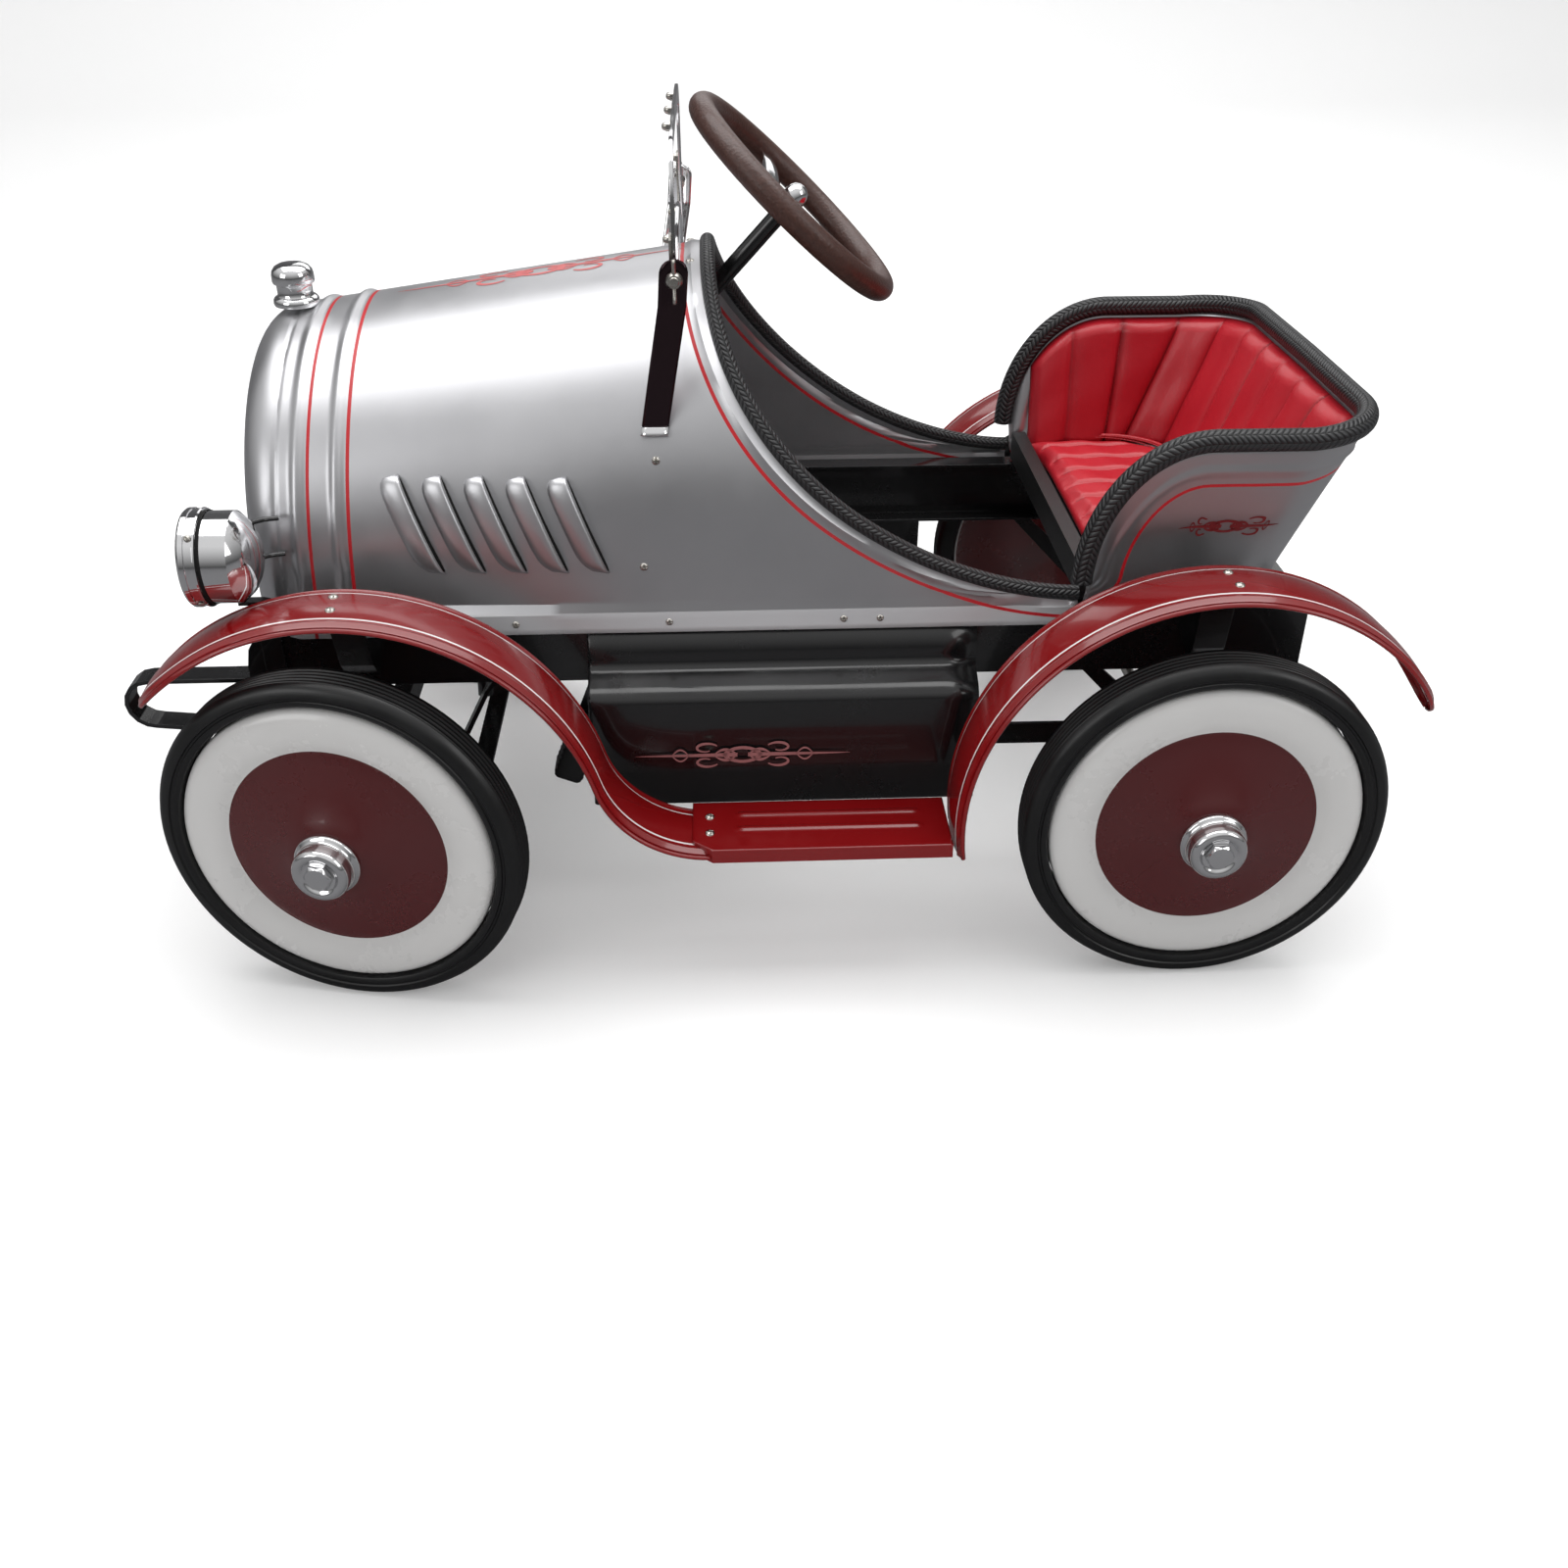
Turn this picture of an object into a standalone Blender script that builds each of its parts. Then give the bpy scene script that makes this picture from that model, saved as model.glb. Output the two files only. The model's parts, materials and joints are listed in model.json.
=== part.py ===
"""Child's pedal car with a steered front axle, a cranked rear axle, swinging pedals and a folding windscreen frame.

Metres, +Z up, +X towards the rear of the car, -Y is the car's left side. The origin is on the floor, midway
between the front of the axle straps and the tips of the rear fenders.
"""

import math

import bmesh
import bpy
from mathutils import Matrix, Vector

# Driving dimensions: layout
WHEELBASE = 0.574
AXLE_SETBACK = 0.011
FRONT_OVERHANG = 0.157
REAR_OVERHANG = 0.152
WHEEL_FACE_Y = 0.245
FRONT_X = -(AXLE_SETBACK + WHEELBASE + FRONT_OVERHANG + REAR_OVERHANG) / 2 + FRONT_OVERHANG
KINGPIN_X = FRONT_X + AXLE_SETBACK
REAR_X = KINGPIN_X + WHEELBASE
GAP = 0.0004
SHEET = 0.0018

# Wheels
TYRE_RADIUS = 0.125
TYRE_WIDTH = 0.030
DISC_RADIUS = 0.1075
CENTRE_RADIUS = 0.0752
CENTRE_DEPTH = 0.0036
HUB_RISE = 0.0134
HUB_RADIUS = 0.0227
CAP_RADIUS = 0.0196
CAP_HEIGHT = 0.0172
AXLE_RADIUS = 0.006
AXLE_REACH = 0.020
WHEEL_STEPS = 28

# Body shell
BODY_HALF_WIDTH = 0.148
NOSE_TAPER = 0.007
NOSE_HALF_WIDTH = BODY_HALF_WIDTH - NOSE_TAPER
BODY_BOTTOM_Z = 0.235
FLANGE_TOP_Z = 0.250
COWL_TOP_Z = 0.456
NOSE_TOP_Z = 0.424
NOSE_FRONT = -0.056
NOSE_REAR = 0.020
CAP_X = -0.030
COWL_REAR = 0.2505
COCKPIT_REAR = 0.503
COCKPIT_SILL_Z = 0.258
COCKPIT_POWER = 1.75
TRIM_RADIUS = 0.005

# Seat tub
TUB_BACK = 0.645
TUB_BOTTOM_Z = 0.2482
RIM_Z = 0.362
RIM_HALF_WIDTH = 0.161
RIM_BACK = 0.691
TUB_CORNER = 0.050
ARM_RUN = 0.072
ARM_FRONT_Z = 0.272
RIM_TRIM_RADIUS = 0.0065
CUSHION_THICKNESS = 0.018
LINING_THICKNESS = 0.012

# Frame
RAIL_BOTTOM_Z = 0.197
RAIL_TOP_Z = 0.247
RAIL_FRONT = -0.066
RAIL_OVERHANG = 0.082
RAIL_REAR = REAR_X - FRONT_X + RAIL_OVERHANG
RAIL_FLANGE = 0.018
RAIL_WALL = 0.002
RAIL_NOSE_RADIUS = 0.034
STRAP_INSET = 0.0145
STRAP_Y = BODY_HALF_WIDTH - STRAP_INSET
STRAP_WIDTH = 0.019
STRAP_THICKNESS = 0.003

# Fenders, running boards and aprons
FENDER_INNER_Y = 0.180
FENDER_OUTER_Y = 0.240
FENDER_RADIUS = 0.168
FENDER_TIP_DEG = 26.0
FRONT_TIP_DEG = 142.0
FENDER_LIP = 0.005
FENDER_CROWN = 0.0025
FENDER_SWEEP_RADIUS = 0.075
FRONT_FENDER_Z = 0.1195
BOARD_Z = 0.1165
BOARD_FRONT = 0.236
BOARD_LIP = 0.012
APRON_RIDGE_Y = 0.172
APRON_RIDGE_Z = 0.198
APRON_FRONT = 0.166
APRON_LAP = 0.020
APRON_REAR = REAR_X - FRONT_X - FENDER_RADIUS + APRON_LAP

# Steering
KINGPIN_Y = 0.185
KINGPIN_RADIUS = 0.004
BOSS_RADIUS = 0.009
BOSS_HEIGHT = 0.030
STEER_ARM = 0.070
COLUMN_CRANK = 0.050
COLUMN_RADIUS = 0.006
THREAD_RADIUS = 0.0048
THREAD_LENGTH = 0.0206
COLUMN_SLOPE_DEG = 46.8
COLUMN_TOP = (0.305, 0.476)
COLUMN_LENGTH = 0.392
STEER_REST_DEG = -10.5
COLUMN_REST_DEG = STEER_REST_DEG * STEER_ARM / COLUMN_CRANK
WHEEL_RIM_RADIUS = 0.0835
WHEEL_RIM_TUBE = 0.0086
WHEEL_DISH = 0.015

# Pedals and rear crank
PEDAL_PIVOT = (0.185, 0.212)
PEDAL_ROD_RADIUS = 0.005
PEDAL_REACH = 0.092
PEDAL_INSET = 0.0325
PEDAL_Y = BODY_HALF_WIDTH - PEDAL_INSET
PEDAL_PAD_REACH = 0.0255
PEDAL_SWING = 0.035
CRANK_RADIUS = 0.035
CRANK_BAR = 0.0055
CRANK_OUTER_Y = PEDAL_Y + 0.006
CRANK_INNER_Y = PEDAL_Y - 0.0195
PUSH_ROD_Y = PEDAL_Y - 0.0065
PUSH_ROD_HEIGHT = 0.017

# Windscreen
PIVOT = (0.236, 0.470)
SCREEN_HALF_WIDTH = BODY_HALF_WIDTH - 0.0055
SCREEN_TOP_RISE = 0.077
SCREEN_DROP = 0.050
SCREEN_STRIP = 0.009
SCREEN_THICKNESS = 0.0025
STUD_RADIUS = 0.003
BRACKET_Y = SCREEN_HALF_WIDTH + 0.004
BRACKET_FOOT_X = 0.2195
BRACKET_FOOT_Y = BRACKET_Y - 0.0155

# Lamps
LAMP = (-0.054, 0.1765, 0.308)
LAMP_RADIUS = 0.0315
LAMP_LENGTH = 0.044

COLOURS = {
    "silver": ((0.55, 0.55, 0.56), 0.35, 1.0),
    "chrome": ((0.80, 0.80, 0.82), 0.08, 1.0),
    "red_paint": ((0.30, 0.02, 0.025), 0.2, 0.0),
    "disc_paint": ((0.42, 0.43, 0.45), 0.3, 0.0),
    "black_paint": ((0.012, 0.012, 0.013), 0.3, 0.0),
    "rubber": ((0.015, 0.015, 0.015), 0.7, 0.0),
    "red_vinyl": ((0.45, 0.02, 0.03), 0.4, 0.0),
    "black_vinyl": ((0.02, 0.02, 0.02), 0.5, 0.0),
    "wood_grain": ((0.07, 0.025, 0.015), 0.5, 0.0),
    "nickel": ((0.5, 0.48, 0.44), 0.3, 1.0),
}


def clear_scene():
    for obj in list(bpy.data.objects):
        bpy.data.objects.remove(obj, do_unlink=True)


clear_scene()
PARTS = bpy.data.collections.new("pedal_car")
CUTTERS = bpy.data.collections.new("cutters")
bpy.context.scene.collection.children.link(PARTS)
bpy.context.scene.collection.children.link(CUTTERS)


def material(name):
    found = bpy.data.materials.get(name)
    if found:
        return found
    colour, roughness, metallic = COLOURS[name]
    made = bpy.data.materials.new(name)
    made.use_nodes = True
    shader = made.node_tree.nodes["Principled BSDF"]
    shader.inputs["Base Color"].default_value = (*colour, 1.0)
    shader.inputs["Roughness"].default_value = roughness
    shader.inputs["Metallic"].default_value = metallic
    return made


def place(obj, finish, parent=None):
    """Link a finished object into the parts collection, with its finish."""
    PARTS.objects.link(obj)
    obj.data.materials.append(material(finish))
    if parent:
        obj.parent = parent
    return obj


def pivot_empty(name, location, matrix=None):
    empty = bpy.data.objects.new(name, None)
    empty.matrix_world = Matrix.Translation(location) @ (matrix or Matrix())
    PARTS.objects.link(empty)
    return empty


def object_from_bmesh(name, shape):
    mesh = bpy.data.meshes.new(name)
    bmesh.ops.recalc_face_normals(shape, faces=shape.faces)
    shape.to_mesh(mesh)
    shape.free()
    return bpy.data.objects.new(name, mesh)


def box(name, low, high):
    shape = bmesh.new()
    bmesh.ops.create_cube(shape, size=1.0)
    size = [b - a for a, b in zip(low, high)]
    centre = [(a + b) / 2 for a, b in zip(low, high)]
    bmesh.ops.scale(shape, vec=size, verts=shape.verts)
    bmesh.ops.translate(shape, vec=centre, verts=shape.verts)
    return object_from_bmesh(name, shape)


def cylinder(name, start, end, radius, sides=12):
    """A round bar from one point to another."""
    start, end = Vector(start), Vector(end)
    shape = bmesh.new()
    turn = (end - start).to_track_quat("Z", "Y").to_matrix().to_4x4()
    bmesh.ops.create_cone(
        shape, cap_ends=True, segments=sides, radius1=radius, radius2=radius, depth=(end - start).length,
        matrix=Matrix.Translation((start + end) / 2) @ turn,
    )
    return object_from_bmesh(name, shape)


def turned(name, profile, steps, closed=True):
    """A profile of (radius, height), down its outer side, turned about Z."""
    mesh = bpy.data.meshes.new(name)
    count = len(profile)
    edges = [(i, i + 1) for i in range(count - 1)]
    if closed:
        edges.append((count - 1, 0))
    mesh.from_pydata([(r, 0.0, z) for r, z in profile], edges, [])
    obj = bpy.data.objects.new(name, mesh)
    screw = obj.modifiers.new("Turn", "SCREW")
    screw.axis = "Z"
    screw.steps = steps
    screw.render_steps = steps
    screw.use_merge_vertices = True
    screw.merge_threshold = 0.00005
    screw.use_smooth_shade = True
    return obj


def tube(name, points, radius, sides=8):
    """A round rod bent along points, with closed ends."""
    curve = bpy.data.curves.new(name, "CURVE")
    curve.dimensions = "3D"
    curve.bevel_depth = radius
    curve.bevel_resolution = (sides - 4) // 2
    curve.use_fill_caps = True
    spline = curve.splines.new("POLY")
    spline.points.add(len(points) - 1)
    for point, co in zip(spline.points, points):
        point.co = (*co, 1.0)
    return bpy.data.objects.new(name, curve)


def plate(name, outlines, thickness, basis):
    """Flat outlines, the first outside and the rest holes, made thick and laid in the plane of a matrix."""
    curve = bpy.data.curves.new(name, "CURVE")
    curve.dimensions = "2D"
    curve.fill_mode = "BOTH"
    curve.extrude = thickness / 2
    for outline in outlines:
        spline = curve.splines.new("POLY")
        spline.points.add(len(outline) - 1)
        for point, (u, v) in zip(spline.points, outline):
            point.co = (u, v, 0.0, 1.0)
        spline.use_cyclic_u = True
    obj = bpy.data.objects.new(name, curve)
    obj.matrix_world = basis
    return obj


def to_mesh(obj):
    """A curve or a modified object as a plain welded mesh object, so that it can be cut and joined."""
    bpy.context.scene.collection.objects.link(obj)
    bpy.context.view_layer.update()
    graph = bpy.context.evaluated_depsgraph_get()
    mesh = bpy.data.meshes.new_from_object(obj.evaluated_get(graph))
    mesh.transform(obj.matrix_world)
    shape = bmesh.new()
    shape.from_mesh(mesh)
    bmesh.ops.remove_doubles(shape, verts=shape.verts, dist=0.00001)
    shape.to_mesh(mesh)
    shape.free()
    name = obj.name
    bpy.data.objects.remove(obj, do_unlink=True)
    return bpy.data.objects.new(name, mesh)


def combine(base, others, operation="UNION"):
    """Join or cut a mesh object with others, which become hidden helpers."""
    for other in others:
        CUTTERS.objects.link(other)
        other.parent = base.parent
        other.hide_render = True
        other.display_type = "WIRE"
        change = base.modifiers.new(operation.title(), "BOOLEAN")
        change.operation = operation
        change.object = other
    return base


def loft(name, rows, thickness=0.0, offset=-1.0):
    """A surface through rows of points, made thick away from its outer side."""
    shape = bmesh.new()
    grid = [[shape.verts.new(point) for point in row] for row in rows]
    for low, high in zip(grid, grid[1:]):
        for i in range(len(low) - 1):
            shape.faces.new((low[i], low[i + 1], high[i + 1], high[i]))
    mesh = bpy.data.meshes.new(name)
    shape.to_mesh(mesh)
    shape.free()
    obj = bpy.data.objects.new(name, mesh)
    wall = obj.modifiers.new("Wall", "SOLIDIFY")
    wall.thickness = thickness
    wall.offset = offset
    wall.use_even_offset = True
    return obj


def wall_between(name, outer, inner):
    """A closed wall between two matching grids of points, the first on its outside."""
    shape = bmesh.new()
    skins = [[[shape.verts.new(point) for point in row] for row in rows] for rows in (outer, inner)]
    for skin in skins:
        for low, high in zip(skin, skin[1:]):
            for i in range(len(low) - 1):
                shape.faces.new((low[i], low[i + 1], high[i + 1], high[i]))
    for j in (0, -1):
        first, second = skins[0][j], skins[1][j]
        for i in range(len(first) - 1):
            shape.faces.new((first[i], first[i + 1], second[i + 1], second[i]))
    for i in (0, -1):
        for j in range(len(outer) - 1):
            shape.faces.new((skins[0][j][i], skins[0][j + 1][i], skins[1][j + 1][i], skins[1][j][i]))
    return object_from_bmesh(name, shape)


def side_name(side):
    return "left" if side < 0 else "right"


def circle(centre, radius, count):
    step = 2 * math.pi / count
    return [(centre[0] + radius * math.cos(i * step), centre[1] + radius * math.sin(i * step)) for i in range(count)]


# Body -----------------------------------------------------------------------------------------------------------


def arch_section(half_width, top, bottom, count=14):
    """Points (y, z) up the left wall, over a round top and down the right wall, with a flange on a low wall."""
    spring = top - half_width
    arch = [
        (-half_width * math.cos(math.pi * i / count), spring + half_width * math.sin(math.pi * i / count))
        for i in range(count + 1)
    ]
    if bottom >= FLANGE_TOP_Z:
        return [(-half_width, bottom)] + arch + [(half_width, bottom)]
    foot = [(-BODY_HALF_WIDTH, bottom), (-BODY_HALF_WIDTH, FLANGE_TOP_Z), (-half_width, FLANGE_TOP_Z + 0.006)]
    return foot + arch + [(-y, z) for y, z in reversed(foot)]


def hood_size(x):
    """Half width and top height of the hood at a distance behind the station datum."""
    share = min((x - NOSE_REAR) / (COWL_REAR - NOSE_REAR), 1.0)
    half_width = NOSE_HALF_WIDTH + (BODY_HALF_WIDTH - NOSE_HALF_WIDTH) * share
    top = NOSE_TOP_Z + (COWL_TOP_Z - NOSE_TOP_Z) * share
    return half_width, top


def cockpit_edge(offset, count):
    """Points (x, z) along the cockpit opening, moved out from its own line by an offset."""
    run = COCKPIT_REAR - COWL_REAR - TRIM_RADIUS + offset
    drop = COWL_TOP_Z - COCKPIT_SILL_Z + offset
    points = []
    for i in range(count + 1):
        angle = math.pi / 2 * i / count
        u = math.cos(angle) ** (2 / COCKPIT_POWER)
        v = math.sin(angle) ** (2 / COCKPIT_POWER)
        points.append((COCKPIT_REAR - run * u, COWL_TOP_Z - drop * v))
    return points


def body_shell():
    stations = [NOSE_REAR + GAP, 0.10, 0.18, COWL_REAR, 0.34, 0.42, COCKPIT_REAR]
    rows = []
    for x in stations:
        half_width, top = hood_size(x)
        rows.append([(FRONT_X + x, y, z) for y, z in arch_section(half_width, top, BODY_BOTTOM_Z)])
    shell = to_mesh(loft("body_shell", rows, SHEET, offset=1.0))
    opening = [(FRONT_X + x, z) for x, z in cockpit_edge(TRIM_RADIUS + 2 * GAP, 16)]
    far = FRONT_X + COCKPIT_REAR + 0.05
    opening += [(far, opening[-1][1]), (far, COWL_TOP_Z + 0.05), (opening[0][0], COWL_TOP_Z + 0.05)]
    upright = Matrix.Rotation(math.pi / 2, 4, "X")
    cutter = to_mesh(plate("cockpit_cutter", [opening], 4 * BODY_HALF_WIDTH, upright))
    place(shell, "silver")
    combine(shell, [cutter], "DIFFERENCE")


def radiator_shell():
    """The rounded front ring of the hood, with its opening for the grille."""
    steps = [(0.0, 0.022), (0.001, 0.015), (0.006, 0.006), (0.016, 0.001), (0.022, 0.0)]
    steps = [(NOSE_FRONT + back, inset) for back, inset in steps] + [(NOSE_REAR, 0.0)]
    rows = []
    for x, inset in steps:
        half_width, top = hood_size(x)
        section = arch_section(half_width - inset, top - inset, FLANGE_TOP_Z)
        rows.append([(FRONT_X + x, y, z) for y, z in section])
    place(loft("radiator_shell", rows, SHEET, offset=1.0), "silver")


def radiator_grille():
    """An upright panel that closes the radiator opening from behind."""
    inset = 0.022 + SHEET + 0.002
    half_width, top = hood_size(NOSE_FRONT)
    section = arch_section(half_width - inset, top - inset, FLANGE_TOP_Z + 0.001)
    facing = Matrix(((0, 0, 1, FRONT_X + NOSE_FRONT + 0.006), (1, 0, 0, 0), (0, 1, 0, 0), (0, 0, 0, 1)))
    place(plate("radiator_grille", [section], 0.003, facing), "chrome")


def radiator_cap():
    base = hood_size(CAP_X + 0.016)[1] + GAP
    cap = turned(
        "radiator_cap",
        [(0.0, 0.028), (0.010, 0.0265), (0.0145, 0.021), (0.0135, 0.016), (0.0105, 0.011), (0.0115, 0.006),
         (0.0155, 0.0035), (0.0155, 0.0), (0.0, 0.0)],
        16, closed=False,
    )
    cap.location = (FRONT_X + CAP_X, 0.0, base)
    place(cap, "chrome")


def cockpit_trim():
    """The braided edging: along the left sill, over the cowl and back along the right sill."""
    spring = COWL_TOP_Z - BODY_HALF_WIDTH
    left = []
    for x, z in reversed(cockpit_edge(0.0, 14)):
        reach = BODY_HALF_WIDTH - SHEET / 2
        if z > spring:
            rise = min((z - spring) / BODY_HALF_WIDTH, 1.0)
            reach *= math.sqrt(1.0 - rise * rise)
        left.append((FRONT_X + x, -reach, z))
    right = [(x, -y, z) for x, y, z in reversed(left[:-1])]
    place(tube("cockpit_trim", left + right, TRIM_RADIUS), "black_vinyl")


# Seat -----------------------------------------------------------------------------------------------------------


def tub_outline(inset):
    """Rows of (x, y, top z) round the tub, with its rim height; each row is one level from bottom to rim."""
    stations = []
    start = COCKPIT_REAR + 0.005
    for i in range(9):
        stations.append(("arm", start + ARM_RUN * i / 8))
    stations.append(("arm", TUB_BACK - TUB_CORNER))
    for i in range(1, 7):
        stations.append(("corner", i / 6))
    stations.append(("back", 0.5))
    rows = []
    for level in (0.0, 0.35, 0.7, 1.0):
        half = BODY_HALF_WIDTH + (RIM_HALF_WIDTH - BODY_HALF_WIDTH) * level ** 1.3 - inset
        lean = (RIM_BACK - TUB_BACK) * level - inset
        corner = TUB_CORNER - inset
        left = []
        for kind, value in stations:
            if kind == "arm":
                share = min(max((value - start) / ARM_RUN, 0.0), 1.0)
                top = ARM_FRONT_Z + (RIM_Z - ARM_FRONT_Z) * math.sqrt(1 - (1 - share) ** 2)
                stretch = max(0.0, value - start - ARM_RUN) / (TUB_BACK - TUB_CORNER - start - ARM_RUN + 1e-9)
                x, y = value + lean * min(stretch, 1.0) + inset * min(stretch, 1.0), -half
            elif kind == "corner":
                angle = math.pi / 2 * value
                top = RIM_Z + 0.006 * value
                x = TUB_BACK - TUB_CORNER + lean + inset + corner * math.sin(angle)
                y = -half + corner * (1 - math.cos(angle))
            else:
                top = RIM_Z + 0.007
                x, y = TUB_BACK - TUB_CORNER + lean + inset + corner, 0.0
            z = TUB_BOTTOM_Z + (top - TUB_BOTTOM_Z) * level
            left.append((FRONT_X + x, y, z))
        rows.append(left + [(x, -y, z) for x, y, z in reversed(left[:-1])])
    return rows


def seat_tub():
    place(wall_between("seat_tub", tub_outline(0.0), tub_outline(SHEET)), "silver")


def seat_rim_trim():
    line = [Vector(point) for point in tub_outline(SHEET / 2)[-1]]
    rim = []
    for i, point in enumerate(line):
        along = (line[min(i + 1, len(line) - 1)] - line[max(i - 1, 0)]).normalized()
        inward = Vector((-along.y, along.x, 0.0)).normalized()
        rim.append(point + along.cross(inward) * (RIM_TRIM_RADIUS + GAP * 3))
    place(tube("seat_rim_trim", rim, RIM_TRIM_RADIUS), "black_vinyl")


def back_cushion():
    """The padded lining that follows the inside of the tub from one arm round to the other."""
    skins = []
    for inset in (SHEET + 0.0015, SHEET + 0.0015 + LINING_THICKNESS):
        skins.append([row[3:-3] for row in tub_outline(inset)[1:]])
    place(wall_between("back_cushion", *skins), "red_vinyl")


def seat_plan(clearance):
    """Outline (x, y) of the seat inside the tub."""
    half = BODY_HALF_WIDTH - SHEET - clearance
    back = TUB_BACK - SHEET - clearance
    corner = TUB_CORNER
    front = COCKPIT_REAR + 0.007
    left = [(front, -half)]
    for i in range(5):
        angle = math.pi / 2 * i / 4
        left.append((back - corner + corner * math.sin(angle), -half + corner * (1 - math.cos(angle))))
    outline = left + [(x, -y) for x, y in reversed(left)]
    return [(FRONT_X + x, y) for x, y in outline]


def seat_board():
    """The board that carries the seat, with the black edge strip that faces the driver's knees."""
    low = TUB_BOTTOM_Z + 0.0005
    board = to_mesh(plate("seat_board", [seat_plan(0.0015)], 0.004, Matrix.Translation((0, 0, low + 0.002))))
    edge_x = FRONT_X + COCKPIT_REAR + 0.004
    half = BODY_HALF_WIDTH - 0.009
    edge = box("seat_board_edge", (edge_x - 0.001, -half, low + 0.0001), (edge_x + 0.010, half, low + 0.022))
    place(board, "black_vinyl")
    combine(board, [edge])


def seat_cushion():
    low = TUB_BOTTOM_Z + 0.0005 + 0.004 + 0.0005
    outline = [(max(x, FRONT_X + COCKPIT_REAR + 0.016), y) for x, y in seat_plan(0.004)]
    centre = Matrix.Translation((0, 0, low + CUSHION_THICKNESS / 2))
    place(plate("seat_cushion", [outline], CUSHION_THICKNESS, centre), "red_vinyl")


# Frame ----------------------------------------------------------------------------------------------------------


def ribbon(name, path, width, thickness, direction=(0.0, 1.0, 0.0)):
    """A flat strap of a given width, bent along a path, centred on it."""
    half = Vector(direction) * width / 2
    rows = [[tuple(Vector(p) - half), tuple(Vector(p) + half)] for p in path]
    return loft(name, rows, thickness, offset=0.0)


def frame_rail(side):
    """A C-channel with a rounded nose, open towards the middle of the car, with its two fender brackets."""
    outer = BODY_HALF_WIDTH - SHEET - GAP - 0.0003
    front, rear = FRONT_X + RAIL_FRONT, FRONT_X + RAIL_REAR
    web = [(front, RAIL_BOTTOM_Z), (rear, RAIL_BOTTOM_Z), (rear, RAIL_TOP_Z)]
    centre = (front + RAIL_NOSE_RADIUS, RAIL_TOP_Z - RAIL_NOSE_RADIUS)
    for i in range(5):
        angle = math.pi / 2 * (1 + i / 4)
        web.append((centre[0] + RAIL_NOSE_RADIUS * math.cos(angle), centre[1] + RAIL_NOSE_RADIUS * math.sin(angle)))
    upright = Matrix.Translation((0, side * (outer - RAIL_WALL / 2), 0)) @ Matrix.Rotation(math.pi / 2, 4, "X")
    rail = to_mesh(plate("frame_rail_" + side_name(side), [web], RAIL_WALL, upright))
    ys = sorted((side * (outer - 0.0005), side * (outer - RAIL_FLANGE)))
    top = box("rail_top", (centre[0], ys[0], RAIL_TOP_Z - RAIL_WALL), (rear, ys[1], RAIL_TOP_Z - 0.00005))
    low = box("rail_low", (front + 0.0005, ys[0], RAIL_BOTTOM_Z + 0.00005), (rear, ys[1], RAIL_BOTTOM_Z + RAIL_WALL))
    pieces = [top, low]
    rear = (REAR_X + 0.012, -0.010, TYRE_RADIUS)
    for x, lean, middle in ((FRONT_X + 0.012, 0.004, FRONT_FENDER_Z), rear):
        crest = middle + FENDER_RADIUS - SHEET - 0.0030
        path = [
            (x, side * (outer - RAIL_WALL / 2), RAIL_BOTTOM_Z + 0.008),
            (x + lean * 0.3, side * (outer + 0.018), RAIL_BOTTOM_Z + 0.026),
            (x + lean, side * (FENDER_INNER_Y + 0.012), crest - 0.004),
            (x + lean, side * (FENDER_INNER_Y + 0.032), crest),
        ]
        pieces.append(to_mesh(ribbon("fender_bracket", path, 0.022, 0.003, (1.0, 0.0, 0.0))))
    place(rail, "black_paint")
    combine(rail, pieces)


def cross_member(name, x, low, high, depth):
    reach = BODY_HALF_WIDTH - SHEET - GAP - RAIL_WALL - 0.0012
    place(box(name, (FRONT_X + x, -reach, low), (FRONT_X + x + depth, reach, high)), "black_paint")


def column_plate(name, distance, half_width, height):
    """A plate square to the steering column, with the hole that the column turns in."""
    axis, across = column_axes()
    centre = column_point(distance)
    basis = Matrix((
        (0.0, across.x, axis.x, centre.x), (1.0, 0.0, 0.0, 0.0), (0.0, across.z, axis.z, centre.z), (0, 0, 0, 1),
    ))
    outline = [(-half_width, -height / 2), (half_width, -height / 2), (half_width, height / 2),
               (-half_width, height / 2)]
    hole = circle((0.0, 0.0), COLUMN_RADIUS + 0.0007, 12)
    place(plate(name, [outline, hole], 0.003, basis), "black_paint")


def axle_strap(side):
    """The looped strap that holds an end of the front axle under its rail."""
    top = RAIL_BOTTOM_Z + RAIL_WALL + STRAP_THICKNESS / 2 + GAP
    under = RAIL_BOTTOM_Z - STRAP_THICKNESS / 2 - GAP
    low = TYRE_RADIUS + 0.010 + STRAP_THICKNESS / 2 + GAP
    bend = (top - 0.166) / 2
    nose = -FRONT_OVERHANG + STRAP_THICKNESS / 2
    path = [(0.030, top), (-0.060, top), (nose + bend, top)]
    for i in range(1, 8):
        angle = math.pi / 2 + math.pi * i / 8
        path.append((nose + bend + bend * math.cos(angle), top - bend + bend * math.sin(angle)))
    path += [(nose + bend, 0.166), (-0.060, 0.158), (-0.012, low), (0.058, low), (0.072, low + 0.008),
             (0.094, under - 0.008), (0.100, under), (0.118, under)]
    points = [(FRONT_X + x, side * STRAP_Y, z) for x, z in path]
    place(ribbon("axle_strap_" + side_name(side), points, STRAP_WIDTH, STRAP_THICKNESS), "black_paint")


# Front axle and steering ------------------------------------------------------------------------------------------


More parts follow.
